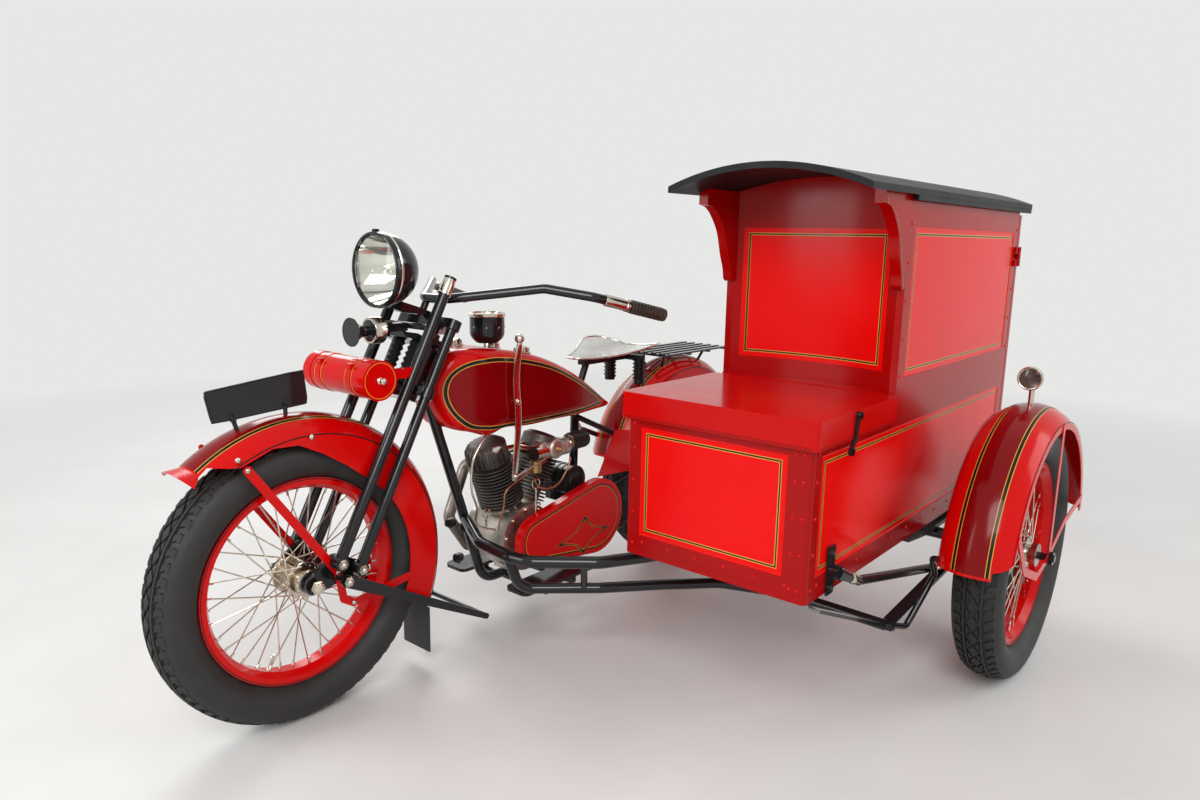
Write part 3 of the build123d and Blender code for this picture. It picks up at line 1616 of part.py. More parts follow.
wall_low = van_floor_z + floor_thickness + seat_gap
with BuildPart() as chest_front:
    with BuildSketch(Plane.XY.offset(wall_low)) as face:
        with Locations((chest_front_x - 200, van_middle_y)):
            RectangleRounded(400, 2 * van_half, corner_round)
            RectangleRounded(
                400 - 2 * panel_thickness,
                2 * (van_half - panel_thickness),
                corner_inner_round,
                mode=Mode.SUBTRACT,
            )
        with Locations((chest_split_x - 300, van_middle_y)):
            Rectangle(600, 3 * van_half, mode=Mode.SUBTRACT)
    extrude(face.sketch, amount=chest_wall_top - wall_low)
    block(
        (chest_front_x - recess, van_inner_y + panel_side, van_floor_z + panel_foot),
        (chest_front_x + 1, van_outer_y - panel_side - 18, chest_wall_top - panel_head),
        mode=Mode.SUBTRACT,
    )
save(chest_front, "chest_front")

wall_high = roof_low_z + roof_crown
side_outline = (
    (cabinet_rear_x, wall_low),
    (chest_split_x - seat_gap, wall_low),
    (chest_split_x - seat_gap, chest_wall_top),
    (cabinet_front_x, chest_wall_top),
    (cabinet_front_x, wall_high),
    (cabinet_rear_x, wall_high),
)
side_panels = (
    # rear x, front x, low z, high z
    (cabinet_rear_x + panel_side, chest_split_x - 6, van_floor_z + panel_foot, chest_wall_top - panel_head),
    (
        cabinet_rear_x + panel_side,
        cabinet_front_x - panel_side,
        chest_wall_top + panel_head,
        fascia_low_z - panel_head,
    ),
)


def side_wall(outer_y, side):
    """Adds one side of the van from its outer face inwards, trimmed to the roof, with its recessed panels."""
    inner_y = outer_y - side * panel_thickness
    plate(side_outline, min(inner_y, outer_y), max(inner_y, outer_y))
    trim_to_roof()
    for rear_x, front_x, low_z, high_z in side_panels:
        near, far = outer_y - side * recess, outer_y + side
        block((rear_x, min(near, far), low_z), (front_x, max(near, far), high_z), mode=Mode.SUBTRACT)


with BuildPart() as van_right_side:
    side_wall(van_inner_y, -1)
save(van_right_side, "van_right_side")

with BuildPart() as van_left_side:
    side_wall(van_outer_y, 1)
    for low in door_hinge_z:
        for start in (low, low + knuckle_length * 2):
            block(
                (door_hinge_x + 1, van_outer_y - 4, start),
                (door_hinge_x + 26, door_hinge_y, start + knuckle_length - 1),
            )
            rod(
                (door_hinge_x, door_hinge_y, start),
                (door_hinge_x, door_hinge_y, start + knuckle_length - 1),
                knuckle_radius,
            )
        rod(
            (door_hinge_x, door_hinge_y, low),
            (door_hinge_x, door_hinge_y, low + 3 * knuckle_length - 1),
            hinge_pin_radius,
        )
save(van_left_side, "van_left_side")

with BuildPart() as rear_door:
    block(
        (door_outer_x, van_inner_y, door_bottom_z),
        (door_outer_x + door_thickness, van_outer_y, door_top_z),
    )
    for low in door_hinge_z:
        start = low + knuckle_length
        block(
            (door_outer_x + door_thickness - 8, van_outer_y - 6, start),
            (door_hinge_x - 1, door_hinge_y, start + knuckle_length - 1),
        )
        rod(
            (door_hinge_x, door_hinge_y, start),
            (door_hinge_x, door_hinge_y, start + knuckle_length - 1),
            knuckle_radius,
        )
        rod(
            (door_hinge_x, door_hinge_y, start - 1),
            (door_hinge_x, door_hinge_y, start + knuckle_length),
            hinge_pin_radius + running_gap,
            Mode.SUBTRACT,
        )
    block(
        (door_outer_x - 1, van_inner_y + panel_side, door_bottom_z + panel_foot),
        (door_outer_x + recess, van_outer_y - panel_side, door_top_z - panel_head),
        mode=Mode.SUBTRACT,
    )
    handle_y = van_inner_y + panel_side / 2
    handle_x = door_outer_x - door_handle_reach
    for z in door_handle_z:
        rod((door_outer_x + 2, handle_y, z), (handle_x, handle_y, z), door_handle_radius)
    rod(
        (handle_x, handle_y, door_handle_z[0] - 8),
        (handle_x, handle_y, door_handle_z[1] + 8),
        door_handle_radius,
    )
save(rear_door, "rear_door")


def concave_arc(front_x, half):
    """Adds the arc of the cabinet's hollowed front across the van at one depth."""
    ThreePointArc(
        (front_x, van_middle_y - half),
        (front_x - concave_depth, van_middle_y),
        (front_x, van_middle_y + half),
    )


with BuildPart() as cabinet_front:
    inner_half = van_half - panel_thickness - seat_gap
    back_x = cabinet_front_x - panel_thickness
    with BuildSketch(Plane.XY.offset(wall_low)) as face:
        with BuildLine():
            concave_arc(cabinet_front_x, inner_half)
            Polyline(
                (cabinet_front_x, van_middle_y + inner_half),
                (back_x, van_middle_y + inner_half),
            )
            concave_arc(back_x, inner_half)
            Polyline(
                (back_x, van_middle_y - inner_half),
                (cabinet_front_x, van_middle_y - inner_half),
            )
        make_face()
    extrude(face.sketch, amount=wall_high - wall_low)
    trim_to_roof()
save(cabinet_front, "cabinet_front")

with BuildPart() as chest_deck:
    with BuildSketch(Plane.XY.offset(chest_wall_top + seat_gap)) as face:
        with BuildLine():
            concave_arc(cabinet_front_x + seat_gap, inner_half)
            Polyline(
                (cabinet_front_x + seat_gap, van_middle_y + inner_half),
                (cabinet_front_x + seat_gap, van_outer_y),
                (deck_front_x, van_outer_y),
                (deck_front_x, van_inner_y),
                (cabinet_front_x + seat_gap, van_inner_y),
                (cabinet_front_x + seat_gap, van_middle_y - inner_half),
            )
        make_face()
    extrude(face.sketch, amount=lid_top_z - chest_wall_top - seat_gap)
    for middle in lid_hinge_offsets:
        for side in (-1, 1):
            near = van_middle_y + middle + side * (knuckle_length / 2)
            far = near + side * (knuckle_length - 1)
            low_y, high_y = min(near, far), max(near, far)
            rod((lid_hinge_x, low_y, lid_hinge_z), (lid_hinge_x, high_y, lid_hinge_z), knuckle_radius)
            block((deck_front_x - 2, low_y, lid_hinge_z - 4), (lid_hinge_x, high_y, lid_hinge_z + 4))
        rod(
            (lid_hinge_x, van_middle_y + middle - knuckle_length, lid_hinge_z),
            (lid_hinge_x, van_middle_y + middle + knuckle_length, lid_hinge_z),
            hinge_pin_radius,
        )
save(chest_deck, "chest_deck")

with BuildPart() as chest_lid:
    lid_length = lid_front_x - lid_rear_x
    lid_half = van_half + door_gap + lid_wall
    with BuildSketch(Plane.XY.offset(lid_top_z - lid_skirt)) as face:
        with Locations((lid_rear_x + lid_length / 2, van_middle_y)):
            Rectangle(lid_length, 2 * lid_half)
        fillet(face.vertices().group_by(Axis.X)[-1], corner_round + 2)
    extrude(face.sketch, amount=lid_skirt)
    with BuildSketch(Plane.XY.offset(lid_top_z - lid_skirt - 1)) as face:
        with Locations((lid_rear_x + (lid_length - lid_wall) / 2 - 10, van_middle_y)):
            Rectangle(lid_length - lid_wall + 20, 2 * (lid_half - lid_wall))
        fillet(face.vertices().group_by(Axis.X)[-1], corner_inner_round)
    extrude(face.sketch, amount=lid_skirt - lid_thickness + 1, mode=Mode.SUBTRACT)
    for middle in lid_hinge_offsets:
        low_y = van_middle_y + middle - knuckle_length / 2 + 1
        high_y = van_middle_y + middle + knuckle_length / 2 - 1
        rod((lid_hinge_x, low_y, lid_hinge_z), (lid_hinge_x, high_y, lid_hinge_z), knuckle_radius)
        block((lid_hinge_x, low_y, lid_hinge_z - 4), (lid_rear_x + 2, high_y, lid_hinge_z + 4))
        rod(
            (lid_hinge_x, low_y - 1, lid_hinge_z),
            (lid_hinge_x, high_y + 1, lid_hinge_z),
            hinge_pin_radius + running_gap,
            Mode.SUBTRACT,
        )
save(chest_lid, "chest_lid")

with BuildPart() as roof:
    with BuildSketch(Plane.YZ.offset(roof_rear_x)) as face:
        with BuildLine():
            Polyline(
                (van_middle_y + roof_half, roof_low_z + roof_board),
                (van_middle_y + roof_half, roof_low_z),
            )
            ThreePointArc(
                (van_middle_y + roof_half, roof_low_z),
                (van_middle_y, roof_low_z + roof_crown),
                (van_middle_y - roof_half, roof_low_z),
            )
            Polyline(
                (van_middle_y - roof_half, roof_low_z),
                (van_middle_y - roof_half, roof_low_z + roof_board),
            )
            ThreePointArc(
                (van_middle_y - roof_half, roof_low_z + roof_board),
                (van_middle_y, roof_low_z + roof_board + roof_crown),
                (van_middle_y + roof_half, roof_low_z + roof_board),
            )
        make_face()
    extrude(face.sketch, amount=roof_front_x - roof_rear_x)
    for side in (-1, 1):
        outer = van_middle_y + side * (roof_half - 1)
        inner = outer - side * fascia_thickness
        block(
            (roof_rear_x, min(inner, outer), fascia_low_z),
            (cabinet_front_x, max(inner, outer), roof_low_z + roof_board / 2),
        )
    header_half = van_half - panel_thickness - seat_gap
    with BuildSketch(Plane.YZ.offset(cabinet_rear_x)) as face:
        with Locations((van_middle_y, roof_arc_z)):
            Circle(roof_arc_radius + roof_board / 2)
        with Locations((van_middle_y, header_low_z + 2 * roof_crown)):
            Rectangle(2 * header_half, 4 * roof_crown, mode=Mode.INTERSECT)
    extrude(face.sketch, amount=panel_thickness)
save(roof, "roof")

with BuildPart() as roof_brackets:
    back = cabinet_front_x + seat_gap
    foot_z = roof_low_z - bracket_height
    for y in (van_inner_y, van_outer_y - bracket_thickness):
        with BuildSketch(side_plane(y + bracket_thickness)) as face:
            with BuildLine():
                Polyline(
                    (back + 12, foot_z),
                    (back, foot_z + 4),
                    (back, wall_high),
                    (back + bracket_reach, wall_high),
                    (back + bracket_reach, roof_low_z - 24),
                )
                Spline(
                    (back + bracket_reach, roof_low_z - 24),
                    (back + 92, roof_low_z - 52),
                    (back + 62, roof_low_z - 92),
                    (back + 42, roof_low_z - 150),
                    (back + 24, roof_low_z - 198),
                    (back + 12, foot_z),
                    tangents=((-1, 0), (-1, -0.4)),
                )
            make_face()
        extrude(face.sketch, amount=bracket_thickness)
    trim_to_roof()
save(roof_brackets, "roof_brackets")

with BuildPart() as lid_hasp:
    hasp_y = van_middle_y + van_half + door_gap + lid_wall + seat_gap
    stay(hasp_run, hasp_y, hasp_y + hasp_thickness, hasp_width)
    for x, z in (hasp_run[0], hasp_run[-1]):
        rod((x, hasp_y + 1, z), (x, hasp_y + hasp_thickness + 5, z), hasp_width / 2 + 2)
save(lid_hasp, "lid_hasp")
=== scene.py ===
"""Looks for the sidecar motorcycle: materials, small parts, stripes, tyre tread, stage, lamps and camera."""

import json
from math import asin, atan2, cos, degrees, pi, radians, sin, sqrt

import bmesh
import bpy
from mathutils import Matrix, Vector
from mathutils.bvhtree import BVHTree


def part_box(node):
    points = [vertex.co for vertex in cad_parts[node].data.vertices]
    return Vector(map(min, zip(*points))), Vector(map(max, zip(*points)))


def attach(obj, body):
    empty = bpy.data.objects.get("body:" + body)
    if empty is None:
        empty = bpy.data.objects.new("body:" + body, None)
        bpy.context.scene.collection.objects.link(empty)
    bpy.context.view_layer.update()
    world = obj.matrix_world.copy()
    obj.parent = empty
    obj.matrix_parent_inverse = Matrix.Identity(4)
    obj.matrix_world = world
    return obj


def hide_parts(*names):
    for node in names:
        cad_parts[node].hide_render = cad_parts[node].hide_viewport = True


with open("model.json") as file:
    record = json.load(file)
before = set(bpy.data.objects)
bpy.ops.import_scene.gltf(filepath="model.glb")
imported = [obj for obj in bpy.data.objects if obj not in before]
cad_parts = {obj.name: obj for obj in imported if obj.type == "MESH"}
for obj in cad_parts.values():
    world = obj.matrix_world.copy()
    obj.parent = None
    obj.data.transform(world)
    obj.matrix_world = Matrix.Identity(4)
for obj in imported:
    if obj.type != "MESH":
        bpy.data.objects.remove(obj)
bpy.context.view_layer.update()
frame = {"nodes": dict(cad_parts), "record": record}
nodes = frame["nodes"]
X, Y, Z = Vector((1, 0, 0)), Vector((0, 1, 0)), Vector((0, 0, 1))


# Materials


def new_material(name):
    """Gives an empty material with its node tree and its principled shader."""
    material = bpy.data.materials.new(name)
    material.use_nodes = True
    tree = material.node_tree
    return material, tree, tree.nodes["Principled BSDF"]


def feed(tree, node, inputs):
    """Links each input to the socket that is given for it, or sets it to the value given."""
    for key, value in inputs.items():
        if isinstance(value, bpy.types.NodeSocket):
            tree.links.new(value, node.inputs[key])
        else:
            node.inputs[key].default_value = value


def add_node(tree, kind, inputs=None, **settings):
    """Adds a shader node, sets its named properties and feeds its inputs."""
    node = tree.nodes.new(kind)
    for key, value in settings.items():
        setattr(node, key, value)
    feed(tree, node, inputs or {})
    return node


def noise(tree, scale, detail=4, rough=0.55, stretch=(1, 1, 1)):
    """Gives a noise value in object space, stretched along the axes."""
    where = add_node(tree, "ShaderNodeTexCoord").outputs["Object"]
    place = add_node(tree, "ShaderNodeMapping", {"Vector": where, "Scale": stretch}).outputs["Vector"]
    inputs = {"Vector": place, "Scale": scale, "Detail": detail, "Roughness": rough}
    return add_node(tree, "ShaderNodeTexNoise", inputs).outputs["Fac"]


def ramp(tree, source, stops):
    """Gives the colour that a value has on a ramp with two stops of (place, colour)."""
    node = add_node(tree, "ShaderNodeValToRGB", {"Fac": source})
    for element, (place, colour) in zip(node.color_ramp.elements, stops):
        element.position = place
        element.color = (*colour, 1)
    return node.outputs["Color"]


def value_ramp(tree, source, low_place, low, high_place, high):
    """Gives a value mapped from one range to another."""
    inputs = {"Value": source, "From Min": low_place, "From Max": high_place, "To Min": low, "To Max": high}
    return add_node(tree, "ShaderNodeMapRange", inputs).outputs["Result"]


def bump(tree, shader, source, strength, distance):
    """Feeds a height into the shader's normal."""
    inputs = {"Strength": strength, "Distance": distance, "Height": source}
    feed(tree, shader, {"Normal": add_node(tree, "ShaderNodeBump", inputs).outputs["Normal"]})


def paint(name, colour, dark, rough=0.16, coat=0.6, peel=0.0006, dirt=0.09):
    """Gives an enamel paint with a slight orange peel, soft colour drift and dust in its gloss."""
    material, tree, shader = new_material(name)
    feed(tree, shader, {
        "Base Color": ramp(tree, noise(tree, 3, 3), ((0.3, dark), (0.65, colour))),
        "Roughness": value_ramp(tree, noise(tree, 14, 6), 0.35, rough, 0.75, rough + dirt),
        "Coat Weight": coat,
        "Coat Roughness": 0.04,
        "Specular IOR Level": 0.16,
    })
    bump(tree, shader, noise(tree, 260, 2), 0.25, peel)
    return material


def metal(
    name, colour, dark, rough=0.25, spread=0.25, grain=60, depth=0.0002, stretch=(1, 1, 1), metallic=1
):
    """Gives a bare or plated metal with patches, fine scratches and uneven gloss."""
    material, tree, shader = new_material(name)
    fine = noise(tree, grain, 6, 0.6, stretch)
    feed(tree, shader, {
        "Metallic": metallic,
        "Base Color": ramp(tree, noise(tree, 9, 6), ((0.35, dark), (0.7, colour))),
        "Roughness": value_ramp(tree, fine, 0.3, rough, 0.75, rough + spread),
    })
    bump(tree, shader, fine, 0.3, depth)
    return material


def rubber(name, colour, dusty, rough=0.62):
    """Gives a worn rubber with dust in its pores."""
    material, tree, shader = new_material(name)
    dust = noise(tree, 22, 8, 0.65)
    feed(tree, shader, {
        "Base Color": ramp(tree, dust, ((0.4, colour), (0.8, dusty))),
        "Roughness": value_ramp(tree, dust, 0.3, rough - 0.12, 0.8, rough + 0.2),
    })
    bump(tree, shader, noise(tree, 420, 3), 0.35, 0.0006)
    return material


def glass(name, dark=(0.88, 0.9, 0.86), clear=(0.96, 0.97, 0.94)):
    """Gives a slightly uneven lamp glass."""
    material, tree, shader = new_material(name)
    tint = noise(tree, 5, 2)
    feed(tree, shader, {
        "Transmission Weight": 1,
        "IOR": 1.45,
        "Base Color": ramp(tree, tint, ((0.2, dark), (0.8, clear))),
        "Roughness": value_ramp(tree, tint, 0.3, 0.01, 0.8, 0.05),
    })
    return material


RED = paint("red_enamel", (0.66, 0.002, 0.002), (0.59, 0.001, 0.001), 0.12, 0.1)
VAN_RED = paint("van_enamel", (0.38, 0.001, 0.001), (0.33, 0.001, 0.001), 0.15, 0.03)
# The lid's enamel is the van's enamel made lighter. This is painted light, standing in for the light that
# falls on the lid's top.
LID_RED_PAINTED_LIGHT = paint("lid_enamel_painted_light", (0.56, 0.001, 0.001), (0.49, 0.001, 0.001), 0.14, 0.03)
BRIGHT_RED = paint("panel_enamel", (0.8, 0.002, 0.001), (0.73, 0.001, 0.001), 0.15, 0)
DEEP_RED = paint("crimson_enamel", (0.24, 0.001, 0.003), (0.18, 0.001, 0.002), 0.12, 0.08)
LINE_BLACK = paint("line_black", (0.01, 0.01, 0.01), (0.004, 0.004, 0.004), 0.25, 0.2)
GOLD_LINE = paint("line_gold", (0.78, 0.42, 0.06), (0.55, 0.27, 0.03), 0.32, 0.2)
BLACK = paint("black_enamel", (0.014, 0.014, 0.016), (0.006, 0.006, 0.007), 0.14, 0.5)
SATIN_BLACK = paint("satin_black", (0.02, 0.02, 0.021), (0.01, 0.01, 0.011), 0.36, 0.15)
ROOF_BLACK = paint("roof_cover", (0.01, 0.011, 0.013), (0.005, 0.006, 0.008), 0.42, 0, 0.001)
NICKEL = metal("nickel", (0.7, 0.64, 0.54), (0.54, 0.49, 0.41), 0.13, 0.1, depth=0.00008)
MIRROR = metal("reflector_silver", (0.9, 0.89, 0.86), (0.74, 0.72, 0.67), 0.05, 0.08, depth=0.00004)
SADDLE_STEEL = metal("saddle_steel", (0.78, 0.77, 0.74), (0.52, 0.5, 0.47), 0.12, 0.22, 40, 0.0001, (1, 7, 1))
ALUMINIUM = metal("cast_aluminium", (0.62, 0.58, 0.52), (0.36, 0.33, 0.29), 0.32, 0.3, 90, 0.0005)
IRON = metal("cast_iron", (0.2, 0.185, 0.17), (0.09, 0.08, 0.075), 0.4, 0.3, 120, 0.0006, metallic=0.85)
EXHAUST = metal("exhaust_steel", (0.34, 0.31, 0.27), (0.16, 0.13, 0.11), 0.34, 0.3)
STEEL = metal("spoke_steel", (0.6, 0.57, 0.52), (0.3, 0.27, 0.24), 0.22, 0.25)
COPPER = metal("copper", (0.72, 0.4, 0.24), (0.42, 0.2, 0.11), 0.25, 0.25)
BRASS = metal("brass", (0.74, 0.55, 0.26), (0.45, 0.3, 0.12), 0.25, 0.25)
TYRE = rubber("tyre_rubber", (0.013, 0.013, 0.013), (0.032, 0.03, 0.027))
TREAD = rubber("tread_rubber", (0.009, 0.009, 0.009), (0.022, 0.021, 0.019), 0.7)
FLAP = rubber("flap_rubber", (0.024, 0.024, 0.024), (0.05, 0.047, 0.044))
GRIP = rubber("grip_rubber", (0.035, 0.033, 0.026), (0.09, 0.083, 0.066), 0.5)
CERAMIC = paint("plug_ceramic", (0.8, 0.78, 0.7), (0.66, 0.62, 0.54), 0.18, 0.4)
BULB = glass("bulb_glass")
GLASS = glass("lamp_glass")
SMOKED_GLASS = glass("marker_lens", (0.1, 0.085, 0.08), (0.18, 0.15, 0.14))

node_material = {
    "red_paint": RED,
    "black_paint": BLACK,
    "van_panel": VAN_RED,
    "roof_cover": ROOF_BLACK,
    "tyre_rubber": TYRE,
    "nickel": NICKEL,
    "cast_aluminium": ALUMINIUM,
    "cast_iron": IRON,
    "exhaust_steel": EXHAUST,
    "saddle_steel": SADDLE_STEEL,
    "lens_glass": GLASS,
    "flap_rubber": FLAP,
    "spring_steel": SATIN_BLACK,
}
slot_of = {entry["node"]: entry["material_slot"] for entry in frame["record"]["subparts"]}
for name, node in nodes.items():
    # The lid and the deck take the lighter enamel, which paints in the light on their tops.
    material = LID_RED_PAINTED_LIGHT if name in ("chest_lid", "chest_deck") else node_material[slot_of[name]]
    if not node.material_slots:
        node.data.materials.append(material)
    for slot in node.material_slots:
        slot.material = material


# Mesh helpers: every size here is in millimetres, in the frame's axes


def node_box(name):
    """Gives a CAD node's lowest and highest corners in millimetres."""
    return [Vector(corner) * 1000 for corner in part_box(name)]


def circle(middle, side, over, radius, count, start=0):
    """Gives the points of a circle about a middle, from its two directions and its first angle."""
    angles = [start + 2 * pi * step / count for step in range(count)]
    return [middle + (side * cos(angle) + over * sin(angle)) * radius for angle in angles]


def spread(low, high, count):
    """Gives equally spaced values from the first to the last."""
    return [low + (high - low) * i / (count - 1) for i in range(count)]


def smooth_run(points, cuts=8, closed=False):
    """Gives a finer run of points on a curve that passes through the given ones."""
    points = [Vector(point) for point in points]
    last = len(points) - 1
    run = []
    for i in range(last + closed):
        near = range(i - 1, i + 3)
        p0, p1, p2, p3 = (points[k % (last + 1) if closed else min(max(k, 0), last)] for k in near)
        for step in range(cuts):
            t = step / cuts
            point = 2 * p1 + (p2 - p0) * t + (2 * p0 - 5 * p1 + 4 * p2 - p3) * t**2
            run.append(0.5 * (point + (3 * p1 - p0 - 3 * p2 + p3) * t**3))
    return run if closed else run + [points[-1]]


class Shape:
    """Gathers the faces of one piece and makes it, riding on its body."""

    def __init__(self):
        self.points = []
        self.faces = []

    def grid(self, rows, closed=False, around=False):
        """Joins rows of equally many points by four-sided faces."""
        start, count = len(self.points), len(rows[0])
        for row in rows:
            self.points.extend(Vector(point) for point in row)
        for i in range(len(rows) - (not closed)):
            for j in range(count - (not around)):
                here, there = start + i * count, start + (i + 1) % len(rows) * count
                across = (j + 1) % count
                self.faces.append((here + j, here + across, there + across, there + j))

    def lid(self, ring):
        """Closes a ring of points by one face."""
        start = len(self.points)
        self.points.extend(Vector(point) for point in ring)
        self.faces.append(tuple(range(start, start + len(ring))))

    def closed_grid(self, rows):
        """Joins rings of points and closes both ends."""
        self.grid(rows, around=True)
        self.lid(rows[0])
        self.lid(rows[-1])

    def lathe(self, place, axis, profile, steps=28, hollow=False):
        """Turns a profile of (distance along, radius) round an axis, with lids or as a closed ring."""
        place, axis = Vector(place), Vector(axis).normalized()
        side = Z.cross(axis).normalized() if abs(axis.z) < 0.9 else X
        over = axis.cross(side)
        rows = [circle(place + axis * along, side, over, radius, steps) for along, radius in profile]
        if hollow:
            self.grid(rows + [rows[0]], around=True)
        else:
            self.closed_grid(rows)

    def tube(self, path, radius, steps=10, closed=False):
        """Lays a round tube along a path."""
        path = [Vector(point) for point in path]
        count = len(path)
        up = None
        rows = []
        for i, point in enumerate(path):
            before = path[(i - 1) % count] if closed or i else point
            after = path[(i + 1) % count] if closed or i < count - 1 else point
            along = (after - before).normalized()
            if up is None:
                up = along.orthogonal().normalized() if abs(along.z) > 0.95 else Z
            side = along.cross(up).normalized()
            up = side.cross(along).normalized()
            rows.append(circle(point, side, up, radius, steps))
        if closed:
            self.grid(rows, closed=True, around=True)
        else:
            self.closed_grid(rows)

    def block(self, low, high, edge):
        """Adds a box with rounded edges."""
        low, high = Vector(low), Vector(high)
        size = high - low
        form = bmesh.new()
        bmesh.ops.create_cube(form, size=1, matrix=Matrix.Diagonal((*size, 1)))
        offset = min(edge, min(size) * 0.45)
        bmesh.ops.bevel(form, geom=list(form.edges), offset=offset, segments=2, affect="EDGES")
        form.transform(Matrix.Translation((low + high) / 2))
        start = len(self.points)
        self.points.extend(vertex.co.copy() for vertex in form.verts)
        for face in form.faces:
            self.faces.append(tuple(start + vertex.index for vertex in face.verts))
        form.free()

    def bolt(self, place, axis, radius, height):
        """Adds a hexagon bolt head on a washer."""
        self.lathe(place, axis, ((-1, radius * 1.4), (1, radius * 1.4), (1.3, radius * 1.25)), 20)
        top = height + 1.2
        self.lathe(place, axis, ((1.2, radius), (top - 0.6, radius), (top, radius * 0.85)), 6)

    def dome(self, place, axis, radius=4.2, height=2.9):
        """Adds a round-headed screw or rivet."""
        lifts = [pi / 2 * step / 4.4 for step in range(5)]
        profile = [(-0.6, radius)] + [(height * sin(lift), radius * cos(lift)) for lift in lifts]
        self.lathe(place, axis, profile, 12)

    def done(self, name, material, slot, body="chassis", sharp=38):
        """Makes the piece in metres, smooth but for its sharp edges."""
        mesh = bpy.data.meshes.new(name)
        mesh.from_pydata([point * 0.001 for point in self.points], [], self.faces)
        form = bmesh.new()
        form.from_mesh(mesh)
        bmesh.ops.remove_doubles(form, verts=form.verts, dist=0.000002)
        bmesh.ops.recalc_face_normals(form, faces=form.faces)
        form.to_mesh(mesh)
        form.free()
        for face in mesh.polygons:
            face.use_smooth = True
        mesh.set_sharp_from_angle(angle=radians(sharp))
        mesh.materials.append(material)
        piece = bpy.data.objects.new(name, mesh)
        bpy.context.scene.collection.objects.link(piece)
        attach(piece, body)
        return piece


def shapes(count):
    """Gives so many empty shapes."""
    return [Shape() for _ in range(count)]


def surface_of(name):
    """Gives a CAD node's surface for rays, in metres."""
    mesh = nodes[name].data
    corners = [vertex.co for vertex in mesh.vertices]
    return BVHTree.FromPolygons(corners, [face.vertices for face in mesh.polygons])


def onto(surface, start, toward, lift):
    """Gives the point in millimetres where a ray meets a surface, lifted off it."""
    direction = Vector(toward).normalized()
    hit, normal, _, _ = surface.ray_cast(Vector(start) * 0.001, direction)
    if hit is None:
        return None
    if normal.dot(direction) > 0:
        normal = -normal
    return hit * 1000 + normal * lift


def wheel_point(centre, radius, angle, aside=0):
    """Gives a point about a wheel's axle, at an angle in degrees from forward."""
    return centre + Vector((radius * cos(radians(angle)), aside, radius * sin(radians(angle))))


def hoop(centre, radius, aside, count=96):
    """Gives the points of a full circle about a wheel's axle."""
    return circle(centre + Y * aside, X, Z, radius, count)


def arc(centre, radius, aside, start, end, count=60):
    """Gives the points of an arc about a wheel's axle, its ends in degrees from forward."""
    return [wheel_point(centre, radius, turn, aside) for turn in spread(start, end, count + 1)]


wheel_centre = {wheel: sum(node_box(f"{wheel}_tyre"), Vector()) / 2 for wheel in ("front", "rear", "sidecar")}
bike_y = wheel_centre["front"].y
TYRE_RADIUS = 343


def beside(x, aside, z):
    """Gives a point at a distance to the left of the motorcycle's middle plane."""
    return Vector((x, bike_y + aside, z))


# Painted lines and two-tone panels of the van

LINE_WIDTH = 3.6
GOLD_WIDTH = 1.6
GOLD_AWAY = (LINE_WIDTH + GOLD_WIDTH) / 2
PANEL_INSET = 17


def inset_loop(corners, inset):
    """Gives a rectangle's corners moved inwards; the corners run round a flat rectangle."""
    a, b, c, d = corners
    across, along = (b - a).normalized() * inset, (c - b).normalized() * inset
    return [a + across + along, b - across + along, c - across - along, d + across - along]


def line_frame(shape, corners, inset, width, lift):
    """Adds a flat painted line round a rectangle, lifted off it."""
    edges = (inset - width / 2, inset + width / 2)
    shape.grid([[corner + lift for corner in inset_loop(corners, edge)] for edge in edges], around=True)


def panel(name, start, end, heights, out, body="chassis"):
    """Paints a recessed panel between two ends, as x and y, bright, with a raised edge and three lines."""
    low, high = heights
    corners = [Vector((*place, z)) for place, z in ((start, low), (end, low), (end, high), (start, high))]
    sheet, bead, black, gold = shapes(4)
    edge = inset_loop(corners, 1.2)
    ends = [(edge[0].lerp(edge[3], i / 8), edge[1].lerp(edge[2], i / 8)) for i in range(9)]
    sheet.grid([[low.lerp(high, j / 8) + out * 0.25 for j in range(9)] for low, high in ends])
    sheet.done(f"{name}_sheet", BRIGHT_RED, "van_panel", body)
    rings = []
    for angle in (pi * step / 5 for step in range(6)):
        lift = out * (2.2 * sin(angle))
        rings.append([corner + lift for corner in inset_loop(corners, 1.5 - 2.5 * cos(angle))])
    bead.grid(rings, around=True)
    bead.done(f"{name}_bead", BRIGHT_RED, "van_panel", body)
    line_frame(black, corners, PANEL_INSET, LINE_WIDTH, out * 0.5)
    for side in (-1, 1):
        line_frame(gold, corners, PANEL_INSET + side * GOLD_AWAY, GOLD_WIDTH, out * 0.5)
    black.done(f"{name}_line", LINE_BLACK, "black_paint", body)
    gold.done(f"{name}_gold_lines", GOLD_LINE, "van_panel", body)


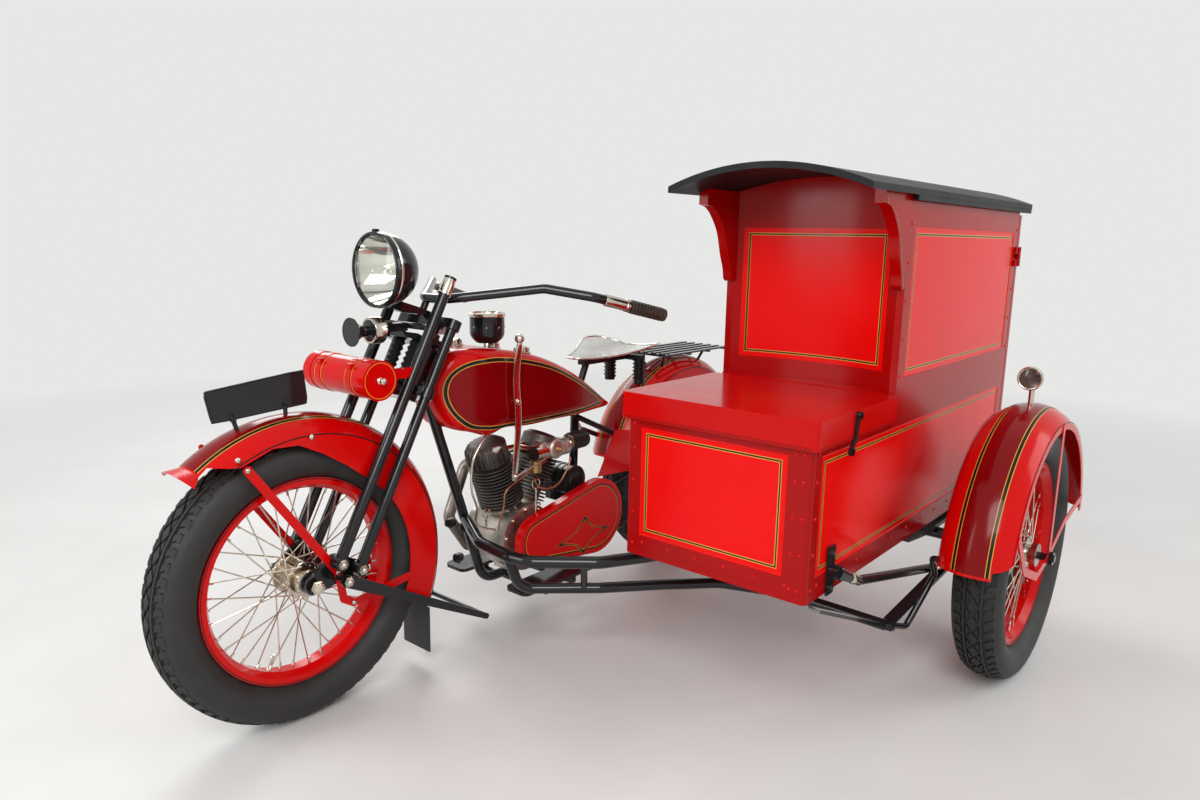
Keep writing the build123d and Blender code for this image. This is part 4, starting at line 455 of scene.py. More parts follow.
front_low, front_high = node_box("chest_front")
door_low, door_high = node_box("rear_door")
cabinet_high = node_box("cabinet_front")[1]
lid_low, lid_high = node_box("chest_lid")
floor_low, floor_high = node_box("van_floor")
RECESS = 2
PANEL_SIDE = 40
PANEL_FOOT = 52
PANEL_HEAD = 60
FASCIA_LOW = 1243
DOOR_FACE = -1110
van_inner, van_outer = floor_low.y, floor_high.y
chest_top = front_high.z
low_panel_z = (floor_low.z + PANEL_FOOT, chest_top - PANEL_HEAD)
high_panel_z = (chest_top + PANEL_HEAD, FASCIA_LOW - PANEL_HEAD)
cabinet_rear = floor_low.x
panel_rear = cabinet_rear + PANEL_SIDE
for side_name, y, out in (("left", van_outer - RECESS, Y), ("right", van_inner + RECESS, -Y)):
    start, low_end, high_end = (panel_rear, y), (front_low.x - 6.3, y), (cabinet_high.x - PANEL_SIDE, y)
    panel(f"{side_name}_lower_panel", start, low_end, low_panel_z, out)
    panel(f"{side_name}_upper_panel", start, high_end, high_panel_z, out)
x, y = front_high.x - RECESS, van_inner + PANEL_SIDE
panel("chest_front_panel", (x, y), (x, van_outer - PANEL_SIDE - 18), low_panel_z, X)
x = DOOR_FACE + RECESS
heights = (door_low.z + PANEL_FOOT, door_high.z - PANEL_HEAD)
panel("rear_door_panel", (x, y), (x, van_outer - PANEL_SIDE), heights, -X, "rear_door")

# The hollowed cabinet front: its field and lines follow the arc
front_surface = surface_of("cabinet_front")
# the field's sides and heights, and how far inside them its lines run
CABINET_FIELD = (van_inner + 42, van_outer - 42, 838, 1178)
CABINET_INSET = 16


def hollow_band(shape, y0, y1, z0, z1, lift):
    """Adds a patch on the cabinet's hollowed front between two heights."""
    run = spread(y0, y1, max(2, int((y1 - y0) / 12) + 1))
    shape.grid([[onto(front_surface, (300, y, z), -X, lift) for y in run] for z in (z0, z1)])


def hollow_frame(shape, inset, width, lift):
    """Adds a line round the cabinet front's field."""
    y0, y1, z0, z1 = CABINET_FIELD
    y0, y1, z0, z1 = y0 + inset, y1 - inset, z0 + inset, z1 - inset
    half = width / 2
    for z in (z0, z1):
        hollow_band(shape, y0 - half, y1 + half, z - half, z + half, lift)
    for y in (y0, y1):
        hollow_band(shape, y - half, y + half, z0 + half, z1 - half, lift)


field, black, gold = shapes(3)
hollow_band(field, *CABINET_FIELD, 0.5)
hollow_frame(black, CABINET_INSET, LINE_WIDTH, 0.9)
for side in (-1, 1):
    hollow_frame(gold, CABINET_INSET + side * GOLD_AWAY, GOLD_WIDTH, 0.9)
field.done("cabinet_front_field", BRIGHT_RED, "van_panel")
black.done("cabinet_front_line", LINE_BLACK, "black_paint")
gold.done("cabinet_front_gold_lines", GOLD_LINE, "van_panel")

# Round-headed screws of the van's panels
screws = Shape()


def screw_pair(x, z):
    """Adds a screw on either side of the van."""
    screws.dome((x, van_outer, z), Y)
    screws.dome((x, van_inner, z), -Y)


for z in (412, 492, 572, 652, 712):
    for y in (van_inner + 20, van_outer - 20, van_outer - 40):
        screws.dome((front_high.x, y, z), X)
    screw_pair(front_high.x - 22, z)
for y in spread(van_inner + 50, van_outer - 50, 6):
    screws.dome((front_high.x, y, 418), X)
for x in spread(cabinet_rear + 30, front_high.x - 50, 13):
    screw_pair(x, 416)
for z in (830, 920, 1010, 1100, 1190):
    for x in (cabinet_rear + 16, cabinet_high.x - 14):
        screw_pair(x, z)
screws.done("panel_screws", RED, "van_panel")

# A moulding round the lid, below its top
LID_LEFT = 572
trims = Shape()
low_z, high_z = lid_high.z - 61, lid_high.z - 56
for y in (lid_low.y, LID_LEFT):
    trims.block((lid_low.x + 16, y - 1.2, low_z), (lid_high.x - 12, y + 1.2, high_z), 0.8)
trims.block((lid_high.x - 1.2, lid_low.y + 12, low_z), (lid_high.x + 0.9, LID_LEFT - 12, high_z), 0.8)
trims.done("lid_edge_moulding", VAN_RED, "van_panel", "chest_lid")

# Black and gold outline of the roof's brackets
bracket_low, bracket_high = node_box("roof_brackets")
bracket_surface = surface_of("roof_brackets")
for name, material, inset, width in (
    ("bracket_lines", LINE_BLACK, 7, 2.6),
    ("bracket_gold_lines", GOLD_LINE, 9.6, 1.4),
):
    lines = Shape()
    for y, out in ((van_outer, 1), (van_inner, -1)):
        rows = []
        for z in range(int(bracket_low.z) + 8, int(bracket_high.z) - 22, 6):
            edge = onto(bracket_surface, (400, y - out * 13, z), -X, 0)
            if edge is not None:
                x = max(edge.x - inset, bracket_low.x + 3)
                rows.append([(x - width / 2, y + out * 0.4, z), (x + width / 2, y + out * 0.4, z)])
        lines.grid(rows)
    lines.done(name, material, "black_paint")

hasp = Shape()
for x, z in ((66, 776), (96, 700)):
    place = (x, node_box("lid_hasp")[1].y - 1, z)
    hasp.lathe(place, Y, ((0, 7), (0.6, 7), (1, 6), (1, 2), (0.3, 1.6)), 24)
hasp.done("hasp_screws", BRASS, "nickel", "chest_lid")


# Wheels: tread inside the tyre's own radius, rim lines, nipples, valves and hub rings

TREAD_DEPTH = 6
TREAD_HALF = 45
STUDS = 44
LUGS = 66
# The side wall's arc: its middle and radius, then its first angle and the step between angles in degrees
WALL_REACH, WALL_ASIDE, WALL_RADIUS = 295.7145, 11.871, 49.1342
WALL_START, WALL_STEP = 161.94399, -8.539117


def tread_radius(aside):
    """Gives the tyre's radius at a distance from its middle line."""
    drop = 11
    ball = (TREAD_HALF**2 + drop**2) / (2 * drop)
    return TYRE_RADIUS - ball + sqrt(ball**2 - aside**2)


def tyre_casing(shape, centre):
    """Adds the casing: the beads, the side walls and the bottom of the tread's grooves."""
    half = [(235.5, 27.1)]
    for angle in (radians(WALL_START + WALL_STEP * step) for step in range(13)):
        half.append((WALL_REACH + WALL_RADIUS * cos(angle), WALL_ASIDE + WALL_RADIUS * sin(angle)))
    half.append((tread_radius(TREAD_HALF) - TREAD_DEPTH * 0.55, 46.4))
    half += [(tread_radius(aside) - TREAD_DEPTH, aside) for aside in (44, 33, 22, 11)]
    half.append((TYRE_RADIUS - TREAD_DEPTH, 0))
    section = half + [(reach, -aside) for reach, aside in reversed(half[:-1])]
    shape.grid([hoop(centre, *place, 120) for place in section], closed=True, around=True)


def tread_block(shape, centre, angle, corners, slope=0.86):
    """Adds one block of the tread, its corners given as (distance along the tread, distance aside)."""
    middle_run, middle_aside = (sum(values) / len(corners) for values in zip(*corners))
    rows = []
    for rise, shrink in ((-TREAD_DEPTH - 1.5, 1), (-1.2, 1), (-0.1, slope)):
        ring = []
        for run, aside in corners:
            run = middle_run + (run - middle_run) * shrink
            aside = middle_aside + (aside - middle_aside) * shrink
            beyond = max(abs(aside) - TREAD_HALF, 0)
            reach = tread_radius(min(abs(aside), TREAD_HALF)) + rise - beyond * 1.1
            ring.append(wheel_point(centre, reach, angle + degrees(run / TYRE_RADIUS), aside))
        rows.append(ring)
    shape.grid(rows, around=True)
    shape.lid(rows[-1])


def tyre_tread(shape, centre):
    """Adds the diamond studs, the two ribs and the shoulder lugs."""
    pitch = 2 * pi * TYRE_RADIUS / STUDS
    for step in range(STUDS):
        stud = ((-pitch * 0.43, 0), (0, -12.5), (pitch * 0.43, 0), (0, 12.5))
        tread_block(shape, centre, 360 / STUDS * step, stud)
        for side in (-1, 1):
            fill = ((-pitch * 0.3, side * 14.5), (0, side * 5.5), (pitch * 0.3, side * 14.5))
            tread_block(shape, centre, 360 / STUDS * (step + 0.5), fill)
    pitch = 2 * pi * TYRE_RADIUS / LUGS
    for side in (-1, 1):
        rib = ((17.4, -TREAD_DEPTH - 1), (17.8, -0.1), (23.2, -0.1), (23.6, -TREAD_DEPTH - 1))
        rows = [hoop(centre, tread_radius(aside) + rise, side * aside, 120) for aside, rise in rib]
        shape.grid(rows, around=True)
        for step in range(LUGS):
            end = 48.5 if step % 2 else 46.5
            places = ((-0.36, 28), (0.16, 28), (0.38, 37), (0.3, end), (-0.3, end), (-0.16, 37))
            lug = [(pitch * run, side * aside) for run, aside in places]
            tread_block(shape, centre, 360 / LUGS * step, lug, 0.9)


NIPPLE = ((0, 3.6), (5, 3.4), (6, 2.9), (13, 2.6), (14, 2.2))
VALVE = ((0, 5.5), (4, 5.5), (4, 3.6), (26, 3.6), (27, 4.6), (35, 4.6), (36, 3.4))
HUB_RING = ((57.6, 30.5), (59.2, 29.6), (59.2, 24.6), (58.4, 24.2))
for wheel_name, centre in wheel_centre.items():
    body = f"{wheel_name}_wheel"
    casing, tread, lines, small, cap = shapes(5)
    tyre_casing(casing, centre)
    casing = casing.done(f"{wheel_name}_tyre_casing", TYRE, "tyre_rubber", body)
    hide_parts(f"{wheel_name}_tyre")
    tyre_tread(tread, centre)
    tread.done(f"{wheel_name}_tyre_tread", TREAD, "tyre_rubber", body, 30)
    for side in (-1, 1):
        lines.grid([hoop(centre, 243.6 + off, side * 34.4) for off in (-1.1, 1.1)], around=True)
        lines.grid([hoop(centre, 230.1, side * 31.5 + off) for off in (-1.2, 1.2)], around=True)
        for turn in range(10):
            for lean in (-1, 1):
                angle = 36 * (turn + side * 0.25) + lean * 4.5
                root = wheel_point(centre, 220.6, angle, side * 6.5)
                small.lathe(root, wheel_point(centre, 100, angle, side * 16) - root, NIPPLE, 8)
        cap.lathe(centre, Y * side, HUB_RING, 40)
        for step in range(10):
            cap.dome(wheel_point(centre, 37.5, 36 * step + 9, side * 32.4), Y * side, 2.2, 1.4)
    root = wheel_point(centre, 221, 292)
    small.lathe(root, wheel_point(centre, 100, 292) - root, VALVE, 14)
    lines.done(f"{wheel_name}_rim_lines", LINE_BLACK, "black_paint", body)
    small.done(f"{wheel_name}_nipples_and_valve", NICKEL, "nickel", body)
    cap.done(f"{wheel_name}_hub_rings", STEEL, "nickel", body)


# Mudguards: lines and bands on the crown and the sides

GUARDS = (
    # wheel, body, crown radius, half width, start and end angle
    ("front", "fork", 396, 80, 53, 204),
    ("rear", "chassis", 391, 80, 13, 189),
    ("sidecar", "chassis", 398, 84, 7, 171),
)
SHOULDER = 42


def crown_band(shape, guard, aside, width, lift):
    """Adds a painted band along a mudguard's crown."""
    wheel, _, radius, half, start, end = guard
    ball = (half**2 + SHOULDER**2) / (2 * SHOULDER)
    rows = []
    for y in spread(aside - width / 2, aside + width / 2, max(2, int(width / 8) + 1)):
        reach = radius - ball + sqrt(max(ball**2 - y**2, 0)) + lift
        rows.append(arc(wheel_centre[wheel], reach, y, start, end))
    shape.grid(rows)


for guard in GUARDS:
    wheel_name, body, radius, half, start, end = guard
    name = f"{wheel_name}_mudguard"
    field, black, gold = shapes(3)
    line_y = half * 0.46
    crown_band(field, guard, 0, 2 * line_y, 0.35)
    for side in (-1, 1):
        crown_band(black, guard, side * line_y, 6, 0.6)
        for step in (-1, 1):
            crown_band(gold, guard, side * line_y + step * 4.2, 1.8, 0.6)
        edges = (radius - SHOULDER + 3 - 1.3, radius - SHOULDER + 3 + 1.3)
        black.grid([arc(wheel_centre[wheel_name], reach, side * (half + 0.4), start, end) for reach in edges])
    field.done(f"{name}_band", DEEP_RED, "red_paint", body)
    black.done(f"{name}_lines", LINE_BLACK, "black_paint", body)
    gold.done(f"{name}_gold_lines", GOLD_LINE, "red_paint", body)


# Fuel tank: dark field inside a black line between gold ones, caps and the instrument

tank_surface = surface_of("fuel_tank")
# x and z along the line on the tank's side, from its nose over the top to the tail and back below
TANK_LINE = (
    (417, 742), (402, 790), (356, 818), (285, 824), (211, 817), (120, 799), (36, 774), (-60, 731),
    (-140, 689), (-226, 637), (-140, 628), (-60, 627), (35, 627), (211, 629), (300, 634), (356, 648),
    (400, 690),
)
TANK_BLACK = 8
TANK_GOLD = 2


def run_offset(run, amount):
    """Moves a closed run of points inwards, in the side view."""
    ahead = [(after - before).normalized() for before, after in zip(run[-1:] + run, run[1:] + run[:1])]
    return [point + Vector((-along.z, 0, along.x)) * amount for point, along in zip(run, ahead)]


def tank_point(x, z, side, lift):
    """Gives the tank's surface beside a point of its side view."""
    return onto(tank_surface, beside(x, side * 200, z), -Y * side, lift)


def tank_band(shape, run, inset, width, side, lift=0.9):
    """Adds a painted line round the tank's side."""
    rows = []
    for amount in (inset - width / 2, inset, inset + width / 2):
        rows.append([tank_point(point.x, point.z, side, lift) for point in run_offset(run, amount)])
    shape.grid(rows, around=True)


def outline_span(run, x):
    """Gives the lowest and the highest point of a closed run at one place along it."""
    heights = []
    for a, b in zip(run, run[1:] + run[:1]):
        if (a.x - x) * (b.x - x) <= 0 and a.x != b.x:
            heights.append(a.z + (b.z - a.z) * (x - a.x) / (b.x - a.x))
    return min(heights), max(heights)


line_run = smooth_run([(x, 0, z) for x, z in TANK_LINE], closed=True)
field, black, gold = shapes(3)
for side in (-1, 1):
    tank_band(black, line_run, 4, TANK_BLACK, side)
    for inset in (-1.2, 9.2):
        tank_band(gold, line_run, inset, TANK_GOLD, side)
    inner = run_offset(line_run, 3)
    tail, nose = min(point.x for point in inner) + 1.5, max(point.x for point in inner) - 0.5
    columns = []
    for step in range(61):
        x = (tail + nose) / 2 - (nose - tail) / 2 * cos(pi * step / 60)
        columns.append([tank_point(x, z, side, 0.6) for z in spread(*outline_span(inner, x), 15)])
    field.grid(columns)
field.done("tank_fields", DEEP_RED, "red_paint")
black.done("tank_lines", LINE_BLACK, "black_paint")
gold.done("tank_gold_lines", GOLD_LINE, "red_paint")

TANK_CAP = ((-6, 27), (2, 27), (3, 25), (3, 21), (14, 21), (17, 19), (19, 12), (19.5, 4))
caps = Shape()
for x, aside in ((150, -46), (120, 46), (292, -44)):
    foot = onto(tank_surface, beside(x, aside, 1000), -Z, 0)
    caps.lathe(foot, Z, TANK_CAP, 36)
    for spot in circle(foot + Z * 4, X, Y, 21, 18):
        caps.block(spot - Vector((1.2, 1.2, 0)), spot + Vector((1.2, 1.2, 9)), 0.5)
caps.done("tank_caps", NICKEL, "nickel")

# The gear lever: a flat polished bar with a ball knob, on a stud beside the tank
LEVER_RUN = (
    # x, half width and z down the bar
    (198, 6, 860), (199, 10, 852), (203, 12, 832), (208, 12, 800), (211, 12, 760), (209, 12, 722),
    (205, 12, 690), (203, 11.5, 650), (205, 11, 600), (211, 10.5, 545), (216, 10, 500), (217, 9, 484),
    (217, 5, 477),
)
# The bar's section, as shares of its half width and half thickness
LEVER_SECTION = ((-1, -0.7), (-0.86, -1), (0.86, -1), (1, -0.7), (1, 0.7), (0.86, 1), (-0.86, 1), (-1, 0.7))
LEVER_OUT = 118
lever = Shape()
rows = []
for x, half, z in smooth_run(LEVER_RUN, 3):
    rows.append([beside(x + half * wide, LEVER_OUT + thick * 2.6, z) for wide, thick in LEVER_SECTION])
lever.closed_grid(rows)
ball = [(13.5 * sin(radians(lean)), 13.5 * cos(radians(lean))) for lean in range(-80, 90, 16)]
lever.lathe(beside(198, LEVER_OUT, 855), Z, ((0, 5), (2, 6.4), (6, 6.4), (8, 5)), 20)
lever.lathe(beside(198, LEVER_OUT, 872), Z, ball, 28)
lever.lathe(beside(206, 104.4, 700), Y, ((0, 7), (16.5, 7), (17, 9.5), (18.6, 9.5), (19.4, 8)), 24)
lever.lathe(beside(206, LEVER_OUT + 4, 700), Y, ((0, 5.5), (4, 5.5), (4.6, 4.6)), 6)
lever = lever.done("gear_lever_bar", NICKEL, "nickel")
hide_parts("gear_lever")

INSTRUMENT = beside(228, 22, 880)
case, trim, face = shapes(3)
case.lathe(INSTRUMENT, Z, ((-26, 10), (-24, 30), (-10, 44), (0, 48), (50, 48), (52, 46)), 40)
trim.lathe(INSTRUMENT, Z, ((48, 48.6), (50, 50.5), (56, 50.5), (58, 48), (58, 44), (55, 43.5)), 40)
for spot in circle(INSTRUMENT + Z * 20, X, Y, 48, 8):
    trim.dome(spot, spot - INSTRUMENT - Z * 20, 2.4, 1.6)
case.done("instrument_case", BLACK, "black_paint")
trim.done("instrument_rim", NICKEL, "nickel")
face.lathe(INSTRUMENT + Z * 54, Z, ((-1, 43.6), (0, 43.6), (0.6, 30), (0.8, 4)), 40)
face.done("instrument_face", ALUMINIUM, "cast_aluminium")


# Handlebar, fork and lamp fittings

RAKE = radians(28)
FORK_FOOT = beside(690.62, 0, 343)
FORK_AXIS = Vector((-sin(RAKE), 0, cos(RAKE)))
FORK_AHEAD = Y.cross(FORK_AXIS)
SLEEVE = ((118, 14), (118, 17.2), (126, 17.2), (127, 15.6), (190, 15.6), (192, 14.6), (192, 12))
LEG_CAP = ((-4, 15), (-3, 17.2), (0, 17.2), (1, 16.4), (36, 16.4), (42, 15), (44.5, 10), (45.2, 3))
GRIP_PROFILE = [(-1.2, 4), (-1.2, 12), (0.5, 16.4)]
for rib in range(11):
    at = 3 + rib * 10.2
    GRIP_PROFILE += [(at, 17.5), (at + 6.4, 17.5), (at + 7.4, 16.9), (at + 9.2, 16.9)]
GRIP_PROFILE.append((117.8, 17.3))


def fork_point(forward, side, up):
    """Gives the place of a point stated ahead of the steering axis, beside it and up it."""
    return FORK_FOOT + FORK_AHEAD * forward + Y * side + FORK_AXIS * up


sleeves, grips, fittings = shapes(3)
for side in (-1, 1):
    end = beside(-66, side * 405, 941)
    inward = (beside(135, side * 330, 993) - end).normalized()
    sleeves.lathe(end, inward, SLEEVE, 32)
    grips.lathe(end, inward, GRIP_PROFILE, 30)
    across = inward.orthogonal().normalized()
    for line in circle(Vector(), across, inward.cross(across), 17.3, 10):
        grips.tube([end + inward * 8 + line, end + inward * 110 + line], 1.1, 6)
    fittings.lathe(fork_point(86, side * 97, 700), FORK_AXIS, LEG_CAP, 32)
    for forward, up, reach in ((25, 6, 113), (86, 6, 113), (63, -27, 127.5)):
        nut = fork_point(forward, side * reach, up)
        fittings.lathe(nut, Y * side, ((-1, 12.5), (0.6, 12.5), (0.6, 10), (6, 10), (6.4, 8.8)), 6)
        fittings.lathe(nut, Y * side, ((6, 7.6), (8.5, 6.6), (10.4, 4.2), (11, 1.2)), 20)
    hub = wheel_centre["front"] + Y * side * 92
    fittings.lathe(hub, Y * side, ((-2, 17), (0, 17), (0, 14), (9, 14), (10, 12)), 6)
    spot = fork_point(34, side * 30, 703)
    fittings.lathe(spot, FORK_AXIS, ((-2, 12.5), (0, 12.5), (0, 9.5), (6, 9.5), (7, 8)), 6)
top = fork_point(0, 0, 653)
fittings.lathe(top, FORK_AXIS, ((-2, 19), (2, 19), (2, 16), (11, 16), (12, 14)), 6)
fittings.lathe(top, FORK_AXIS, ((11, 11), (15, 9), (17, 4), (17.4, 1)), 24)
sleeves.done("grip_sleeves", NICKEL, "nickel", "fork")
grips.done("grips", GRIP, "flap_rubber", "fork")
fittings.done("fork_caps_and_nuts", NICKEL, "nickel", "fork")

LAMP = beside(574, 0, 1058)
MOUTH = 84
RIM = ((-17, 90.4), (-15, 92.6), (-4, 92.8), (1.5, 91.4), (2.6, 88), (1, 86.2), (-2, 86))
RING = ((-19.5, 90.2), (-19, 92.9), (-17.5, 93.9), (-15, 93.9), (-13.5, 92.6))
BULB_PROFILE = ((-14, 8), (0, 8), (4, 9.5), (14, 13), (24, 13.5), (31, 9), (34, 3))
HORN_LIP = ((-3, 32), (-1.5, 35.2), (0.4, 35.2), (0.6, 32.5), (-2, 31.5))
reflector, rim, ring, bulb, horn_rim, horn_band = shapes(6)
bowl = [(-13 - 82 * (1 - (radius / MOUTH) ** 2), radius) for radius in (MOUTH, 80, 72, 62, 50, 38, 26, 14, 8)]
bowl += [(along - 1.2, radius) for along, radius in reversed(bowl)]
reflector.lathe(LAMP, X, bowl, 48, hollow=True)
rim.lathe(LAMP, X, RIM, 64, hollow=True)
rim.block(LAMP + Vector((-14, -7, 90)), LAMP + Vector((0, 7, 98)), 1.5)
rim.bolt(LAMP + Vector((-7, -7, 94)), -Y, 3, 3)
ring.lathe(LAMP, X, RING, 64, hollow=True)
bulb.lathe(LAMP - X * 62, X, BULB_PROFILE, 24)
horn_rim.lathe(beside(646, 0, 912), X, HORN_LIP, 40, hollow=True)
horn_rim.lathe(beside(646, 0, 912), X, ((-1.8, 31.6), (-1.4, 22), (-0.9, 8), (-0.5, 2)), 32)
horn_band.lathe(beside(578, 0, 912), X, ((-17, 31), (-14.5, 33), (14, 33), (17, 31)), 36)
reflector.done("lamp_reflector", MIRROR, "nickel", "fork")
rim.done("lamp_rim", BLACK, "black_paint", "fork")
ring.done("lamp_ring", NICKEL, "nickel", "fork")
bulb.done("lamp_bulb", BULB, "lens_glass", "fork")
horn_rim.done("horn_rims", BLACK, "black_paint", "fork")
horn_band.done("horn_band", NICKEL, "nickel", "fork")

PLATE_OUTLINE = ((1008, 811), (778, 835), (770, 757), (994, 742))
rim = Shape()
for side in (-1, 1):
    run = [beside(x, side * 1.5, z) for x, z in PLATE_OUTLINE]
    path = []
    for i in range(4):
        path += [run[i].lerp(run[(i + 1) % 4], step / 6 + 0.02) for step in range(6)]
    rim.tube(path, 1.9, 6, closed=True)
    for angle in (72, 89):
        rim.bolt(wheel_point(wheel_centre["front"], 420, angle, side * 4), Y * side, 4, 3)
rim.done("plate_rim", SATIN_BLACK, "black_paint", "fork")

CANISTER = beside(655, 0, 810)
CANISTER_KNOB = ((-1, 8), (0, 8), (3, 4.5), (7, 4.5), (10, 7.5), (14, 7.5), (16, 5), (17, 1))
straps, lines, knob = shapes(3)
for y in (-62, 62):
    for edge in (-13, 13):
        lines.lathe(CANISTER + Y * (y + edge), Y, ((-0.9, 46), (-0.7, 46.7), (0.7, 46.7), (0.9, 46)), 48)
    straps.lathe(CANISTER + Y * y, Y, ((-9, 46), (-8.6, 47.6), (8.6, 47.6), (9, 46)), 48)
    straps.block(CANISTER + Vector((34, y - 11, 26)), CANISTER + Vector((44, y + 11, 38)), 1.5)
for out in (-Y, Y):
    knob.lathe(CANISTER + out * 125, out, CANISTER_KNOB, 20)
    lines.lathe(CANISTER + out * 124.6, out, ((0, 43), (0.9, 42.6), (0.9, 41.4), (0, 41)), 44, hollow=True)
straps.done("canister_straps", RED, "red_paint", "fork")
knob.done("canister_knobs", NICKEL, "nickel", "fork")
lines.done("canister_lines", GOLD_LINE, "red_paint", "fork")

guard_nuts, side_nuts = shapes(2)
for x, z in ((983, 675), (811, 696), (963, 648), (758, 360), (718, 272)):
    for side in (-1, 1):
        guard_nuts.dome(beside(x, side * 82.4, z), Y * side, 6.5, 4.2)
guard_nuts.done("mudguard_nuts", NICKEL, "nickel", "fork")
side_nuts.dome((-167.5, 700, 391), X, 4, 3)
side_nuts.dome((-196, 683.8, 392), -Y, 4, 3)
side_nuts.done("sidecar_mudguard_nuts", NICKEL, "nickel")


# Saddle's rolled edge and its two springs

saddle_surface = surface_of("saddle")
edge_run = []
for ray in circle(Vector(), X, Y, 1, 72):
    spots = [beside(-300, 0, 900) + ray * reach for reach in range(40, 190, 2)]
    hits = [hit for hit in (onto(saddle_surface, spot, -Z, 0) for spot in spots) if hit is not None]
    edge_run.append(hits[-1] - ray * 0.4)
edge, coils = shapes(2)
edge.tube(edge_run, 3.6, closed=True)
edge.done("saddle_rim", SADDLE_STEEL, "saddle_steel")
COIL_STEPS = 14
COIL_COUNT = 6 * COIL_STEPS
for side in (-1, 1):
    path = []
    for step in range(COIL_COUNT + 1):
        angle = 2 * pi * step / COIL_STEPS
        rise = 678 + step * (72 / COIL_COUNT)
        path.append(beside(-410 + 19 * cos(angle), side * 62 + 19 * sin(angle), rise))
    coils.tube(path, 2.9, 8)
coils.done("saddle_coils", SATIN_BLACK, "spring_steel")


# Engine details

CRANK = beside(119, 0, 275)
# each cylinder's lean in degrees, and which way its head's outer side faces
CYLINDERS = ((19, 1), (-26, -1))
FIN = ((250, 64), (262, 66.5), (292, 65), (306, 54), (311, 40))
heads, bright, ceramic = shapes(3)
for lean, keep in CYLINDERS:
    along = Vector((sin(radians(lean)), 0, cos(radians(lean))))
    out = Y.cross(along) * keep
    for step in range(13):
        angle = radians(-96 + 16 * step)
        radial = out * cos(angle) + Y * sin(angle)
        wide = radial.cross(along).normalized() * 1.3
        rows = []
        for height, reach in FIN:
            inner, tip = (CRANK + along * height + radial * far for far in (30, reach))
            rows.append([inner - wide, tip - wide, tip + wide, inner + wide])
        heads.closed_grid(rows)
    for step in range(8):
        angle = radians(-88 + 25 * step)
        radial = out * cos(angle) + Y * sin(angle)
        bright.bolt(CRANK + along * 103 + radial * 56, along, 5, 5)
    plug = CRANK + along * 296 + out * 14 + Y * 46
    tilt = (along * 0.5 + Y * 0.85).normalized()
    bright.lathe(plug, tilt, ((-6, 9), (4, 9), (4, 11.5), (13, 11.5), (14, 8.5)), 6)
    ceramic.lathe(plug, tilt, ((13, 7.5), (18, 7.5), (24, 5.5), (36, 4.6), (38, 3.6)), 20)
    bright.lathe(plug, tilt, ((37, 3.4), (43, 3.4), (44, 2.4)), 12)
    # pushrod tubes on the right-hand side
    for shift in (-16, 16):
        low = CRANK + Vector((keep * 30 + shift * 0.5, -82, 58))
        tube = CRANK + along * 262 + out * (10 + shift * 0.4) - Y * 76 - low
        length = tube.length
        bright.lathe(low, tube, ((0, 10), (12, 10), (14, 7), (length - 16, 7), (length, 9)), 18)
heads.done("head_fins", IRON, "cast_iron")
ceramic.done("plug_insulators", CERAMIC, "nickel")
for spot in circle(CRANK, X, Z, 88, 10, 0.2):
    for side in (-1, 1):
        if side > 0 or spot.x > 60:
            bright.bolt(spot + Y * side * 72, Y * side, 4.6, 4)
bright.done("engine_nuts_and_tubes", NICKEL, "nickel")

# Carburettor and its air intake
AIR_HORN = ((0, 23), (4, 25), (10, 25), (12, 19), (18, 19), (20, 24.5), (34, 24.5), (36, 20))
silver, brass, dark = shapes(3)
silver.lathe(beside(40, 106, 536), Y, ((-6, 30), (6, 30), (9, 28), (14, 22), (15, 12)), 36)
silver.lathe(beside(84, 88, 540), Y, ((-16, 20), (14, 20), (20, 14), (22, 5)), 30)
silver.lathe(beside(14, 92, 531), -X, AIR_HORN, 32)
for spot in circle(beside(40, 113, 536), X, Z, 24, 6):
    silver.bolt(spot, Y, 3.2, 3)
brass.lathe(beside(100, 86, 500), Z, ((-30, 5), (-29, 13), (-26, 16), (6, 16), (9, 12), (16, 8)), 28)
brass.lathe(beside(40, 120, 536), Y, ((0, 8), (5, 8), (6, 5), (12, 5), (13, 3)), 6)
dark.lathe(beside(-34, 92, 541), -X, ((-1, 20), (0, 25.4), (3, 26.4), (64, 26.4), (70, 25.2), (72, 18)), 36)
for spot in circle(beside(-44, 92, 541), Y, Z, 26.2, 12):
    dark.tube([spot, spot - X * 52], 1.4, 6)
silver.done("carburettor_cover", ALUMINIUM, "nickel")
brass.done("carburettor_bowl", BRASS, "nickel")
dark.done("air_intake", SATIN_BLACK, "black_paint")

pipes, copper = shapes(2)
FEED = (
    (262, 62, 622), (292, 74, 600), (330, 74, 545), (336, 74, 470), (312, 68, 410), (290, 44, 350),
    (230, 54, 322),
)
BEND = ((-60, 76, 486), (-50, 78, 462), (-12, 80, 420), (30, 80, 408), (78, 76, 420), (96, 74, 452))
RISER = ((240, 74, 330), (222, 78, 390), (216, 84, 440), (150, 88, 470), (60, 90, 500))
for shape, radius, sides, run in ((pipes, 3.2, 10, FEED), (copper, 3, 10, BEND), (copper, 2.6, 8, RISER)):
    shape.tube(smooth_run([beside(*point) for point in run]), radius, sides)
for x, z, radius, stem in ((100, 438, 15, 74), (294, 394, 12, 26)):
    middle = beside(x, 86, z)
    pipes.tube(circle(middle, X, Z, radius, 28), 2.2, 8, closed=True)
    pipes.lathe(middle - Z * radius, -Z, ((0, 3.4), (4, 4.6), (9, 4.6), (10, 3), (stem, 3)), 14)
pipes.tube([beside(216, 126, 490), beside(120, 112, 506), beside(40, 104, 524)], 3.4)
pipes.bolt(beside(216, 121, 490), Y, 5, 4)
pipes.done("oil_lines_and_handles", NICKEL, "nickel")
copper.done("copper_lines", COPPER, "nickel")

